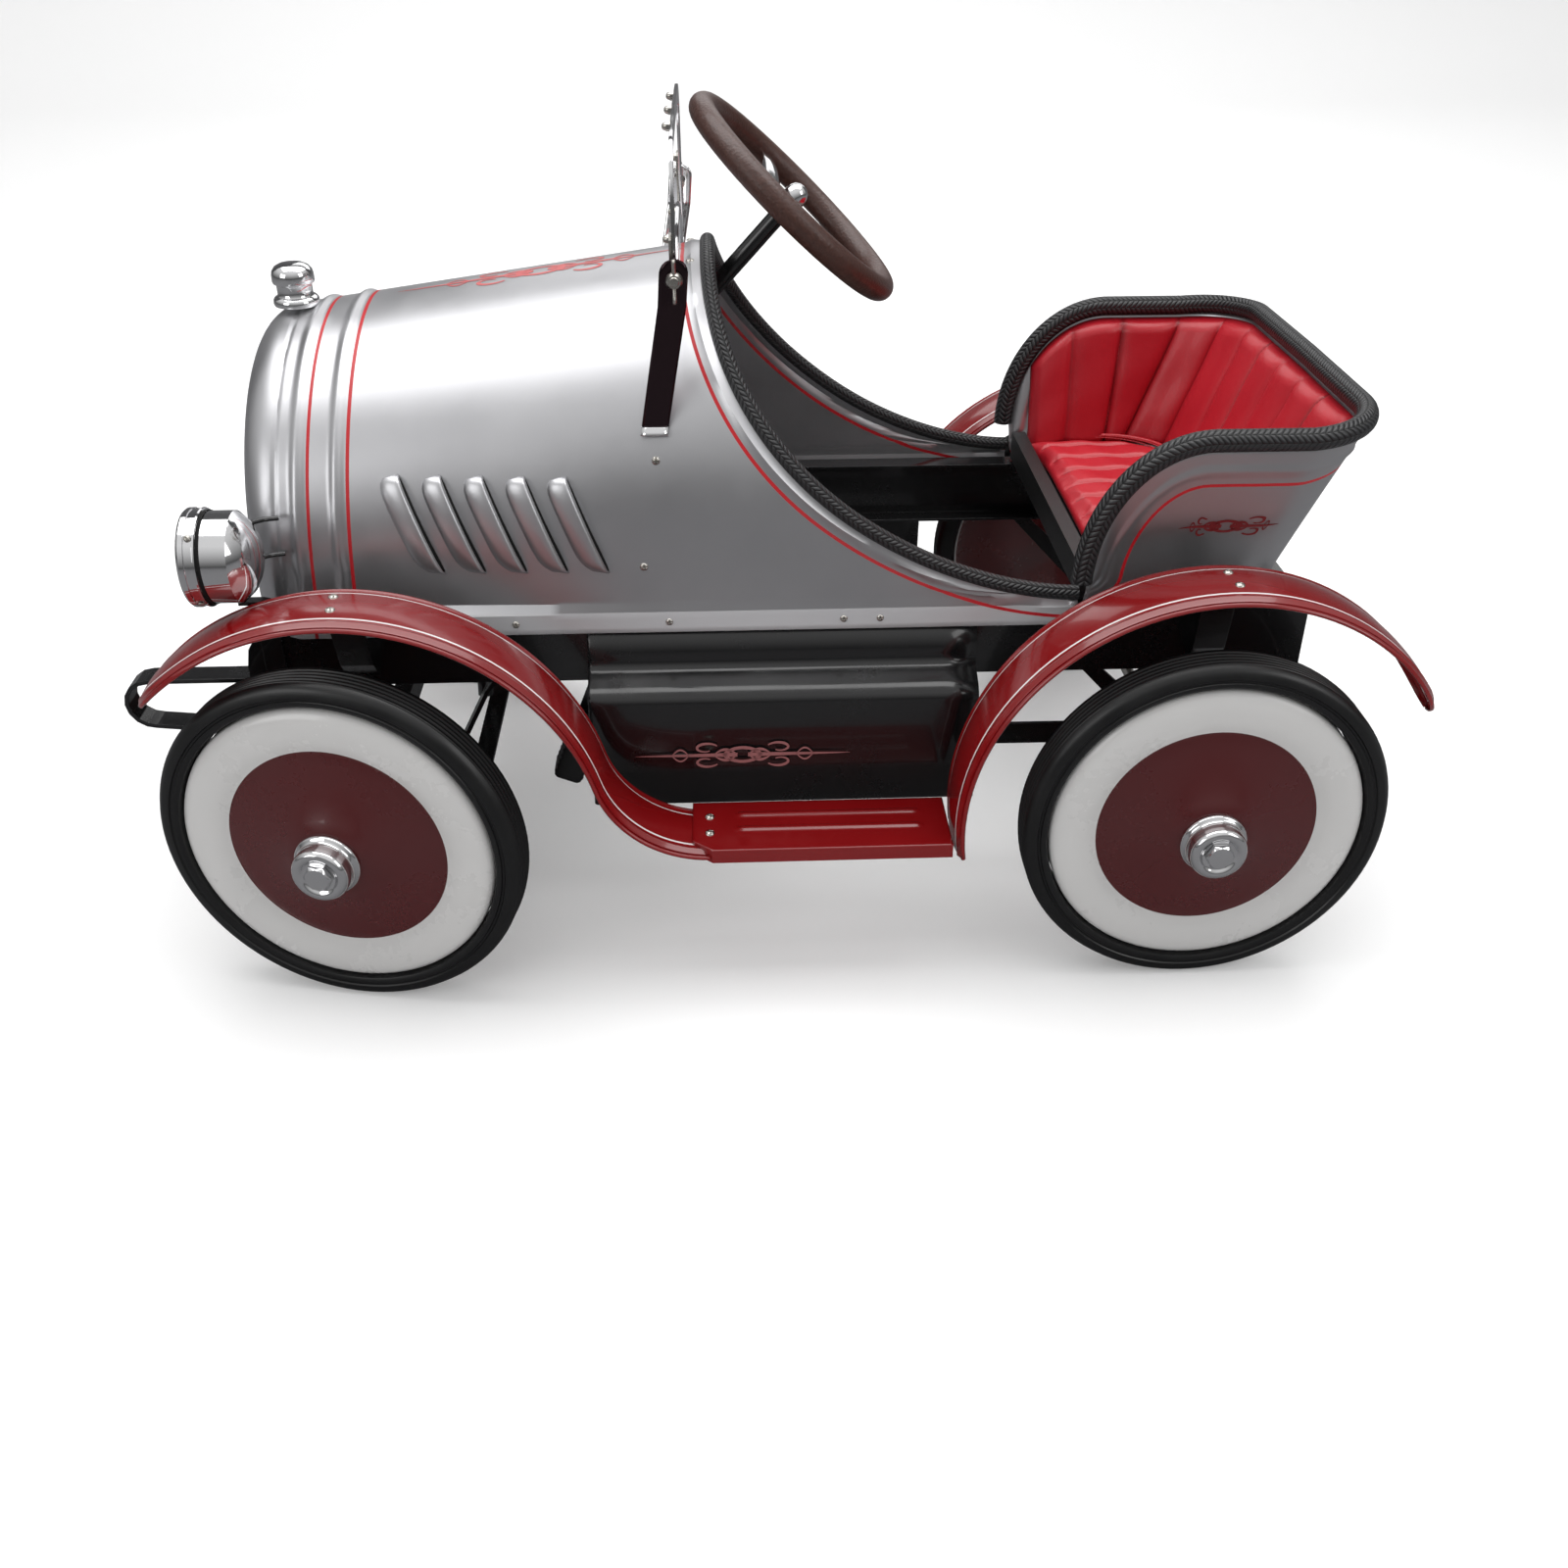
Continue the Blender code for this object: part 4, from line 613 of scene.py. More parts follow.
def set_copies(name, part, places, finish, body, slot):
    """One piece of many copies of a part, each at a (point, outward direction, along direction, size)."""
    holder = link_piece(name + "_places", [p[0] for p in places], [])
    turns, sizes = [], []
    for _, outward, along, size in places:
        z = Vector(outward).normalized()
        x = Vector(along)
        x = (x - z * x.dot(z)).normalized()
        y = z.cross(x)
        turn = Matrix(((x.x, y.x, z.x), (x.y, y.y, z.y), (x.z, y.z, z.z))).to_euler()
        turns += list(turn)
        sizes += list(size)
    for label, values in (("turn", turns), ("size", sizes)):
        layer = holder.data.attributes.new(label, "FLOAT_VECTOR", "POINT")
        layer.data.foreach_set("vector", values)
    nodes = holder.modifiers.new("Copies", "NODES")
    nodes.node_group = COPIES_TREE
    nodes[COPIES_SOCKETS["Part"]] = part
    nodes[COPIES_SOCKETS["Finish"]] = finish
    piece = plain_mesh(holder, name)
    dress(piece, body, finish, slot)
    return piece


def turned_rings(profile, steps, matrix):
    """Points (rows by steps) of a profile of (radius, height), turned about a matrix's Z axis."""
    angles = np.linspace(0.0, 2 * math.pi, steps, endpoint=False)
    profile = np.array(profile, float)
    local = np.zeros((len(profile), steps, 3))
    local[:, :, 0] = profile[:, :1] * np.cos(angles)
    local[:, :, 1] = profile[:, :1] * np.sin(angles)
    local[:, :, 2] = profile[:, 1:]
    turn = np.array(matrix)
    return local @ turn[:3, :3].T + turn[:3, 3], np.repeat(profile[:, :1], steps, axis=1)


def turned_piece(name, profile, steps, matrix, smooth_deg=32.0):
    """A lathe-turned piece. The profile runs down its outer side; ends on the axis are closed by merging."""
    grid, reach = turned_rings(profile, steps, matrix)
    piece = grid_piece(name, grid, wrap=True, flip=True, attributes={"reach": reach}, smooth_deg=smooth_deg)
    weld_poles(piece)
    piece.data.shade_smooth()
    piece.data.set_sharp_from_angle(angle=math.radians(smooth_deg))
    return piece


def weld_poles(piece):
    shape = bmesh.new()
    shape.from_mesh(piece.data)
    bmesh.ops.remove_doubles(shape, verts=shape.verts, dist=0.00001)
    shape.to_mesh(piece.data)
    shape.free()


def rounded(points, radius=0.0008, steps=3):
    """A profile with its inner corners cut round."""
    result = [points[0]]
    for before, here, after in zip(points, points[1:], points[2:]):
        a, b, c = Vector(before), Vector(here), Vector(after)
        first, second = (a - b), (c - b)
        cut = min(radius, first.length * 0.45, second.length * 0.45)
        p, q = b + first.normalized() * cut, b + second.normalized() * cut
        for i in range(steps + 1):
            t = i / steps
            result.append(tuple(p * (1 - t) ** 2 + b * 2 * t * (1 - t) + q * t ** 2))
    result.append(points[-1])
    return result


def bar_box(low, high):
    """Corners and faces of a bar with chamfered long edges, upright along Z."""
    (x0, y0, z0), (x1, y1, z1) = low, high
    c = min(x1 - x0, y1 - y0) * 0.25
    ring = [(x0 + c, y0), (x1 - c, y0), (x1, y0 + c), (x1, y1 - c),
            (x1 - c, y1), (x0 + c, y1), (x0, y1 - c), (x0, y0 + c)]
    points = [(x, y, z) for z in (z0, z1) for x, y in ring]
    faces = [(i, (i + 1) % 8, 8 + (i + 1) % 8, 8 + i) for i in range(8)]
    return points, faces + [tuple(reversed(range(8))), tuple(range(8, 16))]


def grille():
    core_low, core_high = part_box("radiator_grille")
    half = core_high.y - 0.006
    top = core_high.z - 0.004
    low = core_low.z + 0.001
    spring = top - half
    unit = small_part("grille_bar", *bar_box((-0.0016, -0.0011, 0.0), (0.0, 0.0011, 1.0)))
    places = []
    front = core_low.x - 0.0004
    for y in np.linspace(-half + 0.004, half - 0.004, 33):
        reach = spring + math.sqrt(max(half * half - y * y, 0.0))
        places.append(((front, y, low), (0, 0, 1), (1, 0, 0), (1.0, 1.0, reach - low)))
    set_copies("grille_bars", unit, places, CHROME, "car", "chrome")
    cross = small_part("grille_cross_bar", *bar_box((-0.0022, -0.0016, -0.5), (0.0, 0.0016, 0.5)))
    levels = []
    for share in (0.02, 0.34, 0.66):
        z = low + (top - low) * share
        wide = half if z < spring else math.sqrt(half * half - (z - spring) ** 2)
        levels.append(((front, 0.0, z), (0, 1, 0), (1, 0, 0), (1.0, 1.0, 2 * wide - 0.004)))
    set_copies("grille_cross_bars", cross, levels, CHROME, "car", "chrome")
    # The core behind the bars is painted near black as shade.
    frame["nodes"]["radiator_grille"].data.materials[0] = SHADOW_BLACK


def radiator_cap():
    low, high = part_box("radiator_cap")
    base = Matrix.Translation(((low.x + high.x) / 2, 0.0, low.z))
    profile = [(0.0, 0.0282), (0.0045, 0.0280), (0.0085, 0.0272), (0.0116, 0.0256), (0.0136, 0.0230),
               (0.0142, 0.0202), (0.0143, 0.0160), (0.0138, 0.0148), (0.0126, 0.0142), (0.0120, 0.0132),
               (0.0119, 0.0074), (0.0126, 0.0062), (0.0142, 0.0054), (0.0153, 0.0040), (0.0156, 0.0016), (0.0150, 0.0),
               (0.0, 0.0)]
    piece = turned_piece("radiator_cap_knob", profile, 64, base)
    dress(piece, "car", CHROME, "chrome", "radiator_cap")


grille()
radiator_cap()


# Wheels: a stamped disc with a pale outer ring and a burgundy middle, a solid ribbed rubber tyre pressed over its rim,
# and a chromed hub cap with a six-sided boss over the axle's end.


def wheel_matrix(joint_name, side):
    """The wheel's own frame, with Z pointing out of the car and 0 at its outer face."""
    joint = [j for j in frame["joints"] if j["name"] == joint_name][0]
    axis = Vector(joint["axis"]).normalized() * side
    start = Vector(joint["pos_m"])
    face = (WHEEL_FACE_Y - abs(start.y)) if abs(start.y) > 0.01 else WHEEL_FACE_Y
    x = Vector((0, 0, 1)).cross(axis).normalized()
    y = axis.cross(x)
    place = start + axis * face
    return Matrix(((x.x, y.x, axis.x, place.x), (x.y, y.y, axis.y, place.y), (x.z, y.z, axis.z, place.z), (0, 0, 0, 1)))


WHEEL_FACE_Y = 0.245


DISC_RING_EDGE = 0.0752


def disc_finish():
    made, tree, shader = new_finish("wheel_disc_paint", (0.4, 0.4, 0.4), coat=0.5)
    where = node(tree, "ShaderNodeTexCoord").outputs["Object"]
    marks = marked(tree, shader, 11.0, 0.22, 0.34, 0.008, where)
    reach = surface_value(tree, "reach")
    ring = math_of(tree, "GREATER_THAN", reach, DISC_RING_EDGE)
    pale = mix_colour(tree, marks.outputs["Tone"], colour(194, 193, 192), colour(200, 199, 198))
    wine = mix_colour(tree, marks.outputs["Tone"], colour(72, 15, 17), colour(78, 17, 19))
    behind = surface_value(tree, "behind")
    face = mix_colour(tree, ring, wine, pale)
    tree.links.new(mix_colour(tree, behind, face, wine), shader.inputs["Base Color"])
    return made


def rubber_finish():
    made, tree, shader = new_finish("tyre_rubber", colour(20, 20, 21))
    marks = marked(tree, shader, 34.0, 0.30, 0.42, 0.03)
    tone = mix_colour(tree, marks.outputs["Tone"], colour(8, 8, 9), colour(20, 20, 21))
    tree.links.new(tone, shader.inputs["Base Color"])
    return made


DISC_PAINT = disc_finish()
RUBBER = rubber_finish()


def tyre_profile():
    outer, edge, width = 0.1248, 0.1079, 0.030
    line = [(edge, -0.004), (edge + 0.001, -0.0014), (edge + 0.003, -0.0002), (edge + 0.0050, -0.0002),
            (edge + 0.0056, -0.0012), (edge + 0.0068, -0.0012), (edge + 0.0076, -0.0003),
            (outer - 0.0050, -0.0010), (outer - 0.0022, -0.0030), (outer - 0.0006, -0.0060)]
    for i in range(5):
        z = -0.0062 - i * 0.0040
        line += [(outer - 0.0010, z), (outer - 0.0002, z - 0.0006), (outer, z - 0.0012), (outer - 0.0003, z - 0.0018),
                 (outer - 0.0012, z - 0.0023), (outer - 0.0023, z - 0.0026), (outer - 0.0023, z - 0.0037)]
    line += [(outer - 0.0005, -0.0262), (outer - 0.0022, -width + 0.0024), (outer - 0.0050, -width + 0.0010),
             (edge + 0.003, -width + 0.0004), (edge, -width + 0.004), (edge, -0.004)]
    return line


def disc_profile():
    front = [(0.0062, 0.0134), (0.0205, 0.0134), (0.0240, 0.0126), (0.0300, 0.0097), (0.0370, 0.0068), (0.0460, 0.0039),
             (0.0560, 0.0011), (0.0660, -0.0014), (0.0735, -0.0031), (DISC_RING_EDGE, -0.0037), (0.0764, -0.0032),
             (0.0800, -0.0012), (0.0860, 0.0006), (0.0930, 0.0012), (0.0990, 0.0006), (0.1030, -0.0008),
             (0.1058, -0.0030), (0.1070, -0.0060), (0.1072, -0.0240), (0.1054, -0.0240), (0.1052, -0.0075)]
    back = [(0.0930, -0.0006), (DISC_RING_EDGE, -0.0055), (0.0460, 0.0021), (0.0240, 0.0108), (0.0110, 0.0110),
            (0.0108, -0.0320), (0.0064, -0.0320), (0.0062, 0.0134)]
    return front + back, len(front)


def hub_cap(name, matrix):
    base, top = 0.0138, 0.0310
    line = [(0.0, top - 0.0024), (0.0112, top - 0.0022), (0.0132, top - 0.0006), (0.0152, top),
            (0.0176, top - 0.0006), (0.0192, top - 0.0028),
            (0.0195, top - 0.0060), (0.0192, base + 0.0062), (0.0200, base + 0.0040), (0.0222, base + 0.0026),
            (0.0226, base + 0.0008), (0.0220, base), (0.0, base)]
    grid, reach = turned_rings(rounded(line, 0.0010), 72, matrix)
    cap = grid_piece(name, grid, wrap=True, flip=True, attributes={"reach": reach})
    rows = []
    for radius, height in ((0.0, 0.0030), (0.0078, 0.0030), (0.0092, 0.0022), (0.0100, 0.0008), (0.0101, -0.0010)):
        row = []
        for i in range(36):
            angle = 2 * math.pi * i / 36
            flat = math.cos(math.pi / 6) / math.cos((angle % (math.pi / 3)) - math.pi / 6)
            reach_here = radius * (flat if radius > 0.008 else 1.0)
            spot = (reach_here * math.cos(angle), reach_here * math.sin(angle), top - 0.001 + height)
            row.append(matrix @ Vector(spot))
        rows.append([tuple(p) for p in row])
    boss = grid_piece(name + "_boss", rows, wrap=True, flip=True)
    for part in (cap, boss):
        weld_poles(part)
        part.data.shade_smooth()
        part.data.set_sharp_from_angle(angle=math.radians(30))
    return cap, boss


WHEELS = (("front_left", "front_left_spin", -1, "front_left_wheel"),
          ("front_right", "front_right_spin", 1, "front_right_wheel"),
          ("rear_left", "rear_axle_spin", -1, "rear_axle"), ("rear_right", "rear_right_spin", 1, "rear_right_wheel"))
for label, joint_name, side, body in WHEELS:
    spot = wheel_matrix(joint_name, side)
    tyre = turned_piece("tyre_" + label + "_ribbed", tyre_profile(), 112, spot)
    dress(tyre, body, RUBBER, "tyre", "tyre_" + label)
    profile, faced = disc_profile()
    disc = turned_piece("disc_" + label, profile, 112, spot, 50.0)
    inner = (Matrix(spot).inverted().to_3x3(), Matrix(spot).inverted().translation)
    mark = disc.data.attributes.new("behind", "FLOAT", "POINT")
    sheet = np.array(profile)
    for index, vertex in enumerate(disc.data.vertices):
        here = inner[0] @ vertex.co + inner[1]
        reach = math.hypot(here.x, here.y)
        nearest = int(np.argmin((sheet[:, 0] - reach) ** 2 + (sheet[:, 1] - here.z) ** 2))
        mark.data[index].value = 1.0 if nearest >= faced - 2 else 0.0
    dress(disc, body, DISC_PAINT, "disc_paint", "wheel_disc_" + label)
    cap, boss = hub_cap("hub_" + label, spot)
    dress(cap, body, CHROME, "chrome", "hub_cap_" + label)
    dress(boss, body, CHROME, "chrome")


# Fenders: crowned bands of gloss red sheet with wired edges and a white line inside each edge. The front pair
# sweeps down into the running boards; the rear pair ends in a rounded tip.


FENDER_MIDDLE_Y = 0.210
FENDER_HALF = 0.030
FENDER_RADIUS = 0.168


def red_finish():
    made, tree, shader = new_finish("gloss_red_paint", (0.3, 0.02, 0.02), coat=0.45)
    where = node(tree, "ShaderNodeTexCoord").outputs["Object"]
    marks = marked(tree, shader, 12.0, 0.16, 0.25, 0.01, where)
    red = mix_colour(tree, marks.outputs["Tone"], colour(114, 10, 13), colour(130, 15, 18))
    gap = surface_value(tree, "edge_gap")
    line = math_of(tree, "COMPARE", gap, 0.0118, 0.0007)
    tree.links.new(mix_colour(tree, line, red, colour(226, 220, 220)), shader.inputs["Base Color"])
    return made


RED_PAINT = red_finish()


TIP_LENGTH = 0.060
TIP_NARROWEST = 0.06
FENDER_CROWN = 0.0040
FENDER_WIRE = 0.0016


def tip_share(distance):
    """How wide a fender is, as a share of its full width, at a distance from its rounded tip."""
    left = max(0.0, 1.0 - distance / TIP_LENGTH)
    return max(TIP_NARROWEST, math.sqrt(max(0.0, 1.0 - left ** 2.2)))


def fender_rows(side, path):
    """Rows across the fender: a crowned sheet between two rolled wires."""
    rows, gaps = [], []
    for x, z, nx, nz, share in path:
        half = FENDER_HALF * share
        crown = FENDER_CROWN * min(1.0, share * 1.2)
        profile = []
        wire = FENDER_WIRE
        for i in range(8):
            a = math.radians(250 - 40 * i)
            profile.append((-half + wire + wire * math.cos(a), -0.0026 + wire * math.sin(a)))
        for t in np.linspace(-0.90, 0.90, 41):
            bead = bulge(half * (1 - abs(t)), 0.0068, 0.0026, 0.0011) * min(1.0, share * 1.2)
            profile.append((t * half, crown * (1 - t * t) - 0.0016 + bead))
        for i in range(8):
            a = math.radians(180 - (250 - 40 * (7 - i)))
            profile.append((half - wire + wire * math.cos(a), -0.0026 + wire * math.sin(a)))
        row, gap = [], []
        for across, rise in profile:
            row.append((x + nx * rise, side * (FENDER_MIDDLE_Y + across), z + nz * rise))
            gap.append(half - abs(across))
        rows.append(row)
        gaps.append(gap)
    return rows, gaps


def rear_fender_path():
    path = []
    tip, sweep, count = 26.0, 162.0, 64
    for i in range(count + 1):
        share = (i / count) ** 1.25
        angle = math.radians(tip + sweep * share)
        nx, nz = math.cos(angle), math.sin(angle)
        travelled = FENDER_RADIUS * math.radians(sweep) * share
        path.append((rear_x + FENDER_RADIUS * nx, axle_z + FENDER_RADIUS * nz, nx, nz, tip_share(travelled)))
    return path


def front_fender_path():
    centre = (datum + 0.0145, 0.1195)
    low = 0.1165 - 0.0018 - 0.0025 - 0.0014
    sweep = 0.075
    hollow_z = low + sweep
    rise = hollow_z - centre[1]
    hollow_x = centre[0] + math.sqrt((FENDER_RADIUS + sweep) ** 2 - rise ** 2)
    turn = math.atan2(rise, hollow_x - centre[0])
    start = math.radians(142.0)
    path = []
    count = 56
    for i in range(count + 1):
        share = (i / count) ** 1.25
        angle = start + (turn - start) * share
        nx, nz = math.cos(angle), math.sin(angle)
        travelled = FENDER_RADIUS * (start - turn) * share
        path.append((centre[0] + FENDER_RADIUS * nx, centre[1] + FENDER_RADIUS * nz, nx, nz, tip_share(travelled)))
    for i in range(1, 21):
        angle = turn + math.pi + (math.pi / 2 - turn) * i / 20
        nx, nz = math.cos(angle), math.sin(angle)
        path.append((hollow_x + sweep * nx, hollow_z + sweep * nz, -nx, -nz, 1.0))
    return path


for side, label in ((-1, "left"), (1, "right")):
    for stem, path, turned_over in (("front_fender_", front_fender_path(), False),
                                    ("rear_fender_", rear_fender_path(), True)):
        rows, gaps = fender_rows(side, path)
        piece = grid_piece(stem + label + "_sheet", rows, flip=(side > 0) != turned_over, attributes={"edge_gap": gaps})
        thicken(piece, 0.0010)
        dress(piece, "car", RED_PAINT, "red_paint", stem + label)


# Running boards and aprons: a flat pressed step with two long ribs and a turned-down lip, and a folded black panel
# that closes the side between the frame rail and the step.


BOARD_Z = 0.1165
BOARD_START = datum + 0.236
BOARD_END = rear_x - FENDER_RADIUS - 0.0035


def running_board(side, label):
    rows, gaps = [], []
    inner, outer = 0.180, 0.2398
    for x in np.linspace(BOARD_START, BOARD_END, 90):
        taper = 0.012 * max(0.0, 1.0 - (x - BOARD_START) / 0.014)
        edge = outer - taper
        row = []
        for y in np.linspace(inner, edge - 0.0012, 44):
            rib_ends = min(max(min(x - BOARD_START - 0.030, BOARD_END - 0.018 - x) / 0.004, 0.0), 1.0)
            rib = sum(bulge(y, middle, 0.0042, 0.0014) for middle in (0.1965, 0.2140))
            row.append((x, side * y, BOARD_Z - 0.0014 + rib * rib_ends))
        for a in np.linspace(80.0, 0.0, 5):
            row.append((x, side * (edge - 0.0012 + 0.0012 * math.cos(math.radians(a))),
                        BOARD_Z - 0.0026 + 0.0012 * math.sin(math.radians(a))))
        row.append((x, side * edge, BOARD_Z - 0.0118))
        row.append((x, side * (edge - 0.0030), BOARD_Z - 0.0118))
        rows.append(row)
        gaps.append([0.05] * len(row))
    piece = grid_piece(f"running_board_{label}_sheet", rows, flip=side > 0, attributes={"edge_gap": gaps})
    thicken(piece, 0.0010)
    dress(piece, "car", RED_PAINT, "red_paint", "running_board_" + label)


APRON_TOP_Y = 0.1473
APRON_FOLD = (0.1726, 0.1935)
APRON_FOOT = (0.1772, 0.1135)


def apron_line():
    corners = [(APRON_TOP_Y, 0.2338), (APRON_TOP_Y, 0.2075), (0.1668, 0.1992), APRON_FOLD, APRON_FOOT]
    return rounded(corners, 0.006, 5)


def apron_point(side, x, share, lift=0.0):
    """A point on the apron's sloping lower panel, at a share of the way down it."""
    y = APRON_FOLD[0] + (APRON_FOOT[0] - APRON_FOLD[0]) * share
    z = APRON_FOLD[1] + (APRON_FOOT[1] - APRON_FOLD[1]) * share
    return (x, side * (y + lift), z)


def apron(side, label):
    rows = []
    front, rear = datum + 0.166, datum + 0.437
    line = apron_line()
    for x in [front + 0.0005, front + 0.0015] + list(np.linspace(front + 0.003, rear - 0.001, 12)):
        turn = 0.0022 if x < front + 0.001 else (0.0006 if x < front + 0.002 else 0.0)
        rows.append([(x, side * (y - turn), z) for y, z in line])
    piece = grid_piece(f"side_apron_{label}_panel", rows, flip=side > 0)
    thicken(piece, 0.0010)
    dress(piece, "car", BLACK_PAINT, "black_paint", "side_apron_" + label)


for side, label in ((-1, "left"), (1, "right")):
    running_board(side, label)
    apron(side, label)


# Painted flourishes: plain tapering scrolls in thin paint, dull pink on the aprons, faded red along the top of the
# hood and a small dark red one on each side of the seat.


def flat_paint(name, tone, rough):
    made, tree, shader = new_finish(name, tone)
    marked(tree, shader, 30.0, rough, rough + 0.12, 0.0)
    return made


def scroll_strokes():
    """Tapering strokes as (points, widths) in a unit space: a lozenge in the middle with scrolls to both ends."""
    turn = np.linspace(0, 2 * math.pi, 41)
    strokes = [([(0.17 * math.cos(a), 0.105 * math.sin(a) * abs(math.sin(a)) ** 0.4) for a in turn], [0.040] * 41)]
    for way in (-1, 1):
        tail = [(way * (0.05 + 0.95 * t), 0.0) for t in np.linspace(0, 1, 16)]
        strokes.append((tail, [0.050 * (1 - t) ** 0.7 + 0.004 for t in np.linspace(0, 1, 16)]))
        for up in (-1, 1):
            curl = []
            for t in np.linspace(0.0, 1.0, 22):
                a = math.pi * (0.15 + 1.55 * t)
                r = 0.115 * (1 - 0.50 * t)
                curl.append((way * (0.34 - r * math.cos(a)), up * (0.10 + r * math.sin(a) * 0.72)))
            strokes.append((curl, [0.016 + 0.030 * math.sin(math.pi * t) * (1 - t) for t in np.linspace(0, 1, 22)]))
            leaf = [(way * (0.06 + 0.20 * t), up * (0.06 * math.sin(math.pi * t) + 0.02))
                    for t in np.linspace(0, 1, 14)]
            strokes.append((leaf, [0.006 + 0.030 * math.sin(math.pi * t) for t in np.linspace(0, 1, 14)]))
            hook = [(way * (0.50 + 0.16 * t), up * 0.085 * math.sin(math.pi * t)) for t in np.linspace(0, 1, 12)]
            strokes.append((hook, [0.006 + 0.018 * math.sin(math.pi * t) for t in np.linspace(0, 1, 12)]))
    return strokes


def flourish(name, place, length, height, body, finish, slot, outward_flip):
    points, faces = [], []
    for line, widths in scroll_strokes():
        line = np.array(line) * (length / 2, height)
        widths = np.array(widths) * height * 1.15
        along = np.gradient(line, axis=0)
        along /= np.maximum(np.linalg.norm(along, axis=1, keepdims=True), 1e-9)
        across = np.stack([-along[:, 1], along[:, 0]], axis=1)
        start = len(points)
        for middle, step, width in zip(line, across, widths):
            points += [place(*(middle - step * width / 2)), place(*(middle + step * width / 2))]
        for i in range(len(line) - 1):
            face = (start + 2 * i, start + 2 * i + 1, start + 2 * i + 3, start + 2 * i + 2)
            faces.append(tuple(reversed(face)) if outward_flip else face)
    piece = link_piece(name, points, faces)
    piece.data.shade_smooth()
    dress(piece, body, finish, slot)


PINK_PAINT = flat_paint("dull_pink_paint", colour(150, 92, 92), 0.35)
FADED_RED = flat_paint("faded_red_paint", colour(196, 96, 96), 0.35)
DARK_RED = flat_paint("dark_red_paint", colour(120, 26, 30), 0.35)
for side, label in ((-1, "left"), (1, "right")):
    flourish(f"apron_flourish_{label}", lambda u, v, s=side: apron_point(s, datum + 0.272 + u, 0.52 - v / 0.08, 0.0009),
             0.150, 0.052, "car", PINK_PAINT, "red_paint", side < 0)


def hood_top_spot(u, v):
    x = 0.140 + u
    half, top = hood_size(x)
    angle = v / half
    return (datum + x, (half + 0.0002) * math.sin(angle), top - half + (half + 0.0002) * math.cos(angle))


flourish("hood_flourish", hood_top_spot, 0.200, 0.085, "car", FADED_RED, "red_paint", True)


# Cockpit edging and seat: a braided black cord along the cockpit's edge, a silver tub with a bead and a red line
# under its padded roll, and a red lining stitched in upright channels over a channelled cushion.


def frames_along(points):
    """Unit tangents and two sideways directions that turn as little as they can along a line."""
    points = np.asarray(points, float)
    tangents = np.gradient(points, axis=0)
    tangents /= np.linalg.norm(tangents, axis=1, keepdims=True)
    first = np.cross(tangents[0], (0.0, 0.0, 1.0) if abs(tangents[0][2]) < 0.9 else (1.0, 0.0, 0.0))
    sides = [first / np.linalg.norm(first)]
    for t in tangents[1:]:
        side = sides[-1] - t * np.dot(sides[-1], t)
        sides.append(side / np.linalg.norm(side))
    sides = np.array(sides)
    return tangents, sides, np.cross(tangents, sides)


def swept(name, points, radius, steps, squeeze=1.0, radii=None):
    """A round cord or rod along a line, with its length and its turn as attributes, closed at both ends."""
    points = np.asarray(points, float)
    _, sides, ups = frames_along(points)
    travelled = np.concatenate([[0.0], np.cumsum(np.linalg.norm(np.diff(points, axis=0), axis=1))])
    radii = np.full(len(points), radius) if radii is None else np.asarray(radii)
    angles = np.linspace(0.0, 2 * math.pi, steps + 1)
    ring = np.cos(angles)[None, :, None] * sides[:, None, :] + squeeze * np.sin(angles)[None, :, None] * ups[:, None, :]
    grid = points[:, None, :] + ring * radii[:, None, None]
    ends = [np.repeat(points[i][None, None, :], steps + 1, axis=1) for i in (0, -1)]
    grid = np.concatenate([ends[0], grid, ends[1]], axis=0)
    along = np.concatenate([travelled[:1], travelled, travelled[-1:]])
    attributes = {"along": np.repeat(along[:, None], steps + 1, axis=1),
                  "round": np.repeat(angles[None, :], len(grid), axis=0)}
    return grid_piece(name, grid, attributes=attributes, smooth_deg=50.0)


def braid_group():
    """Herringbone plaiting from the length along a cord and the turn round it."""
    kinds = [("Along", "NodeSocketFloat"), ("Round", "NodeSocketFloat"), ("Pitch", "NodeSocketFloat"),
             ("Strands", "NodeSocketFloat")]
    group, given, result = shader_group("herringbone_braid", kinds, [("Height", "NodeSocketFloat")])
    turns = math_of(group, "DIVIDE", given.outputs["Round"], 2 * math.pi)
    lanes = math_of(group, "MULTIPLY", turns, given.outputs["Strands"])
    zigzag = math_of(group, "PINGPONG", lanes, 1.0)
    shifted = math_of(group, "ADD", math_of(group, "DIVIDE", given.outputs["Along"], given.outputs["Pitch"]), zigzag)
    rib = math_of(group, "ABSOLUTE", math_of(group, "SINE", math_of(group, "MULTIPLY", shifted, math.pi)))
    edge = math_of(group, "ABSOLUTE", math_of(group, "SINE", math_of(group, "MULTIPLY", lanes, math.pi)))
    edge = math_of(group, "POWER", edge, 0.35)
    height = math_of(group, "MULTIPLY", math_of(group, "POWER", rib, 0.6), edge)
    group.links.new(height, result.inputs["Height"])
    return group


BRAID = braid_group()


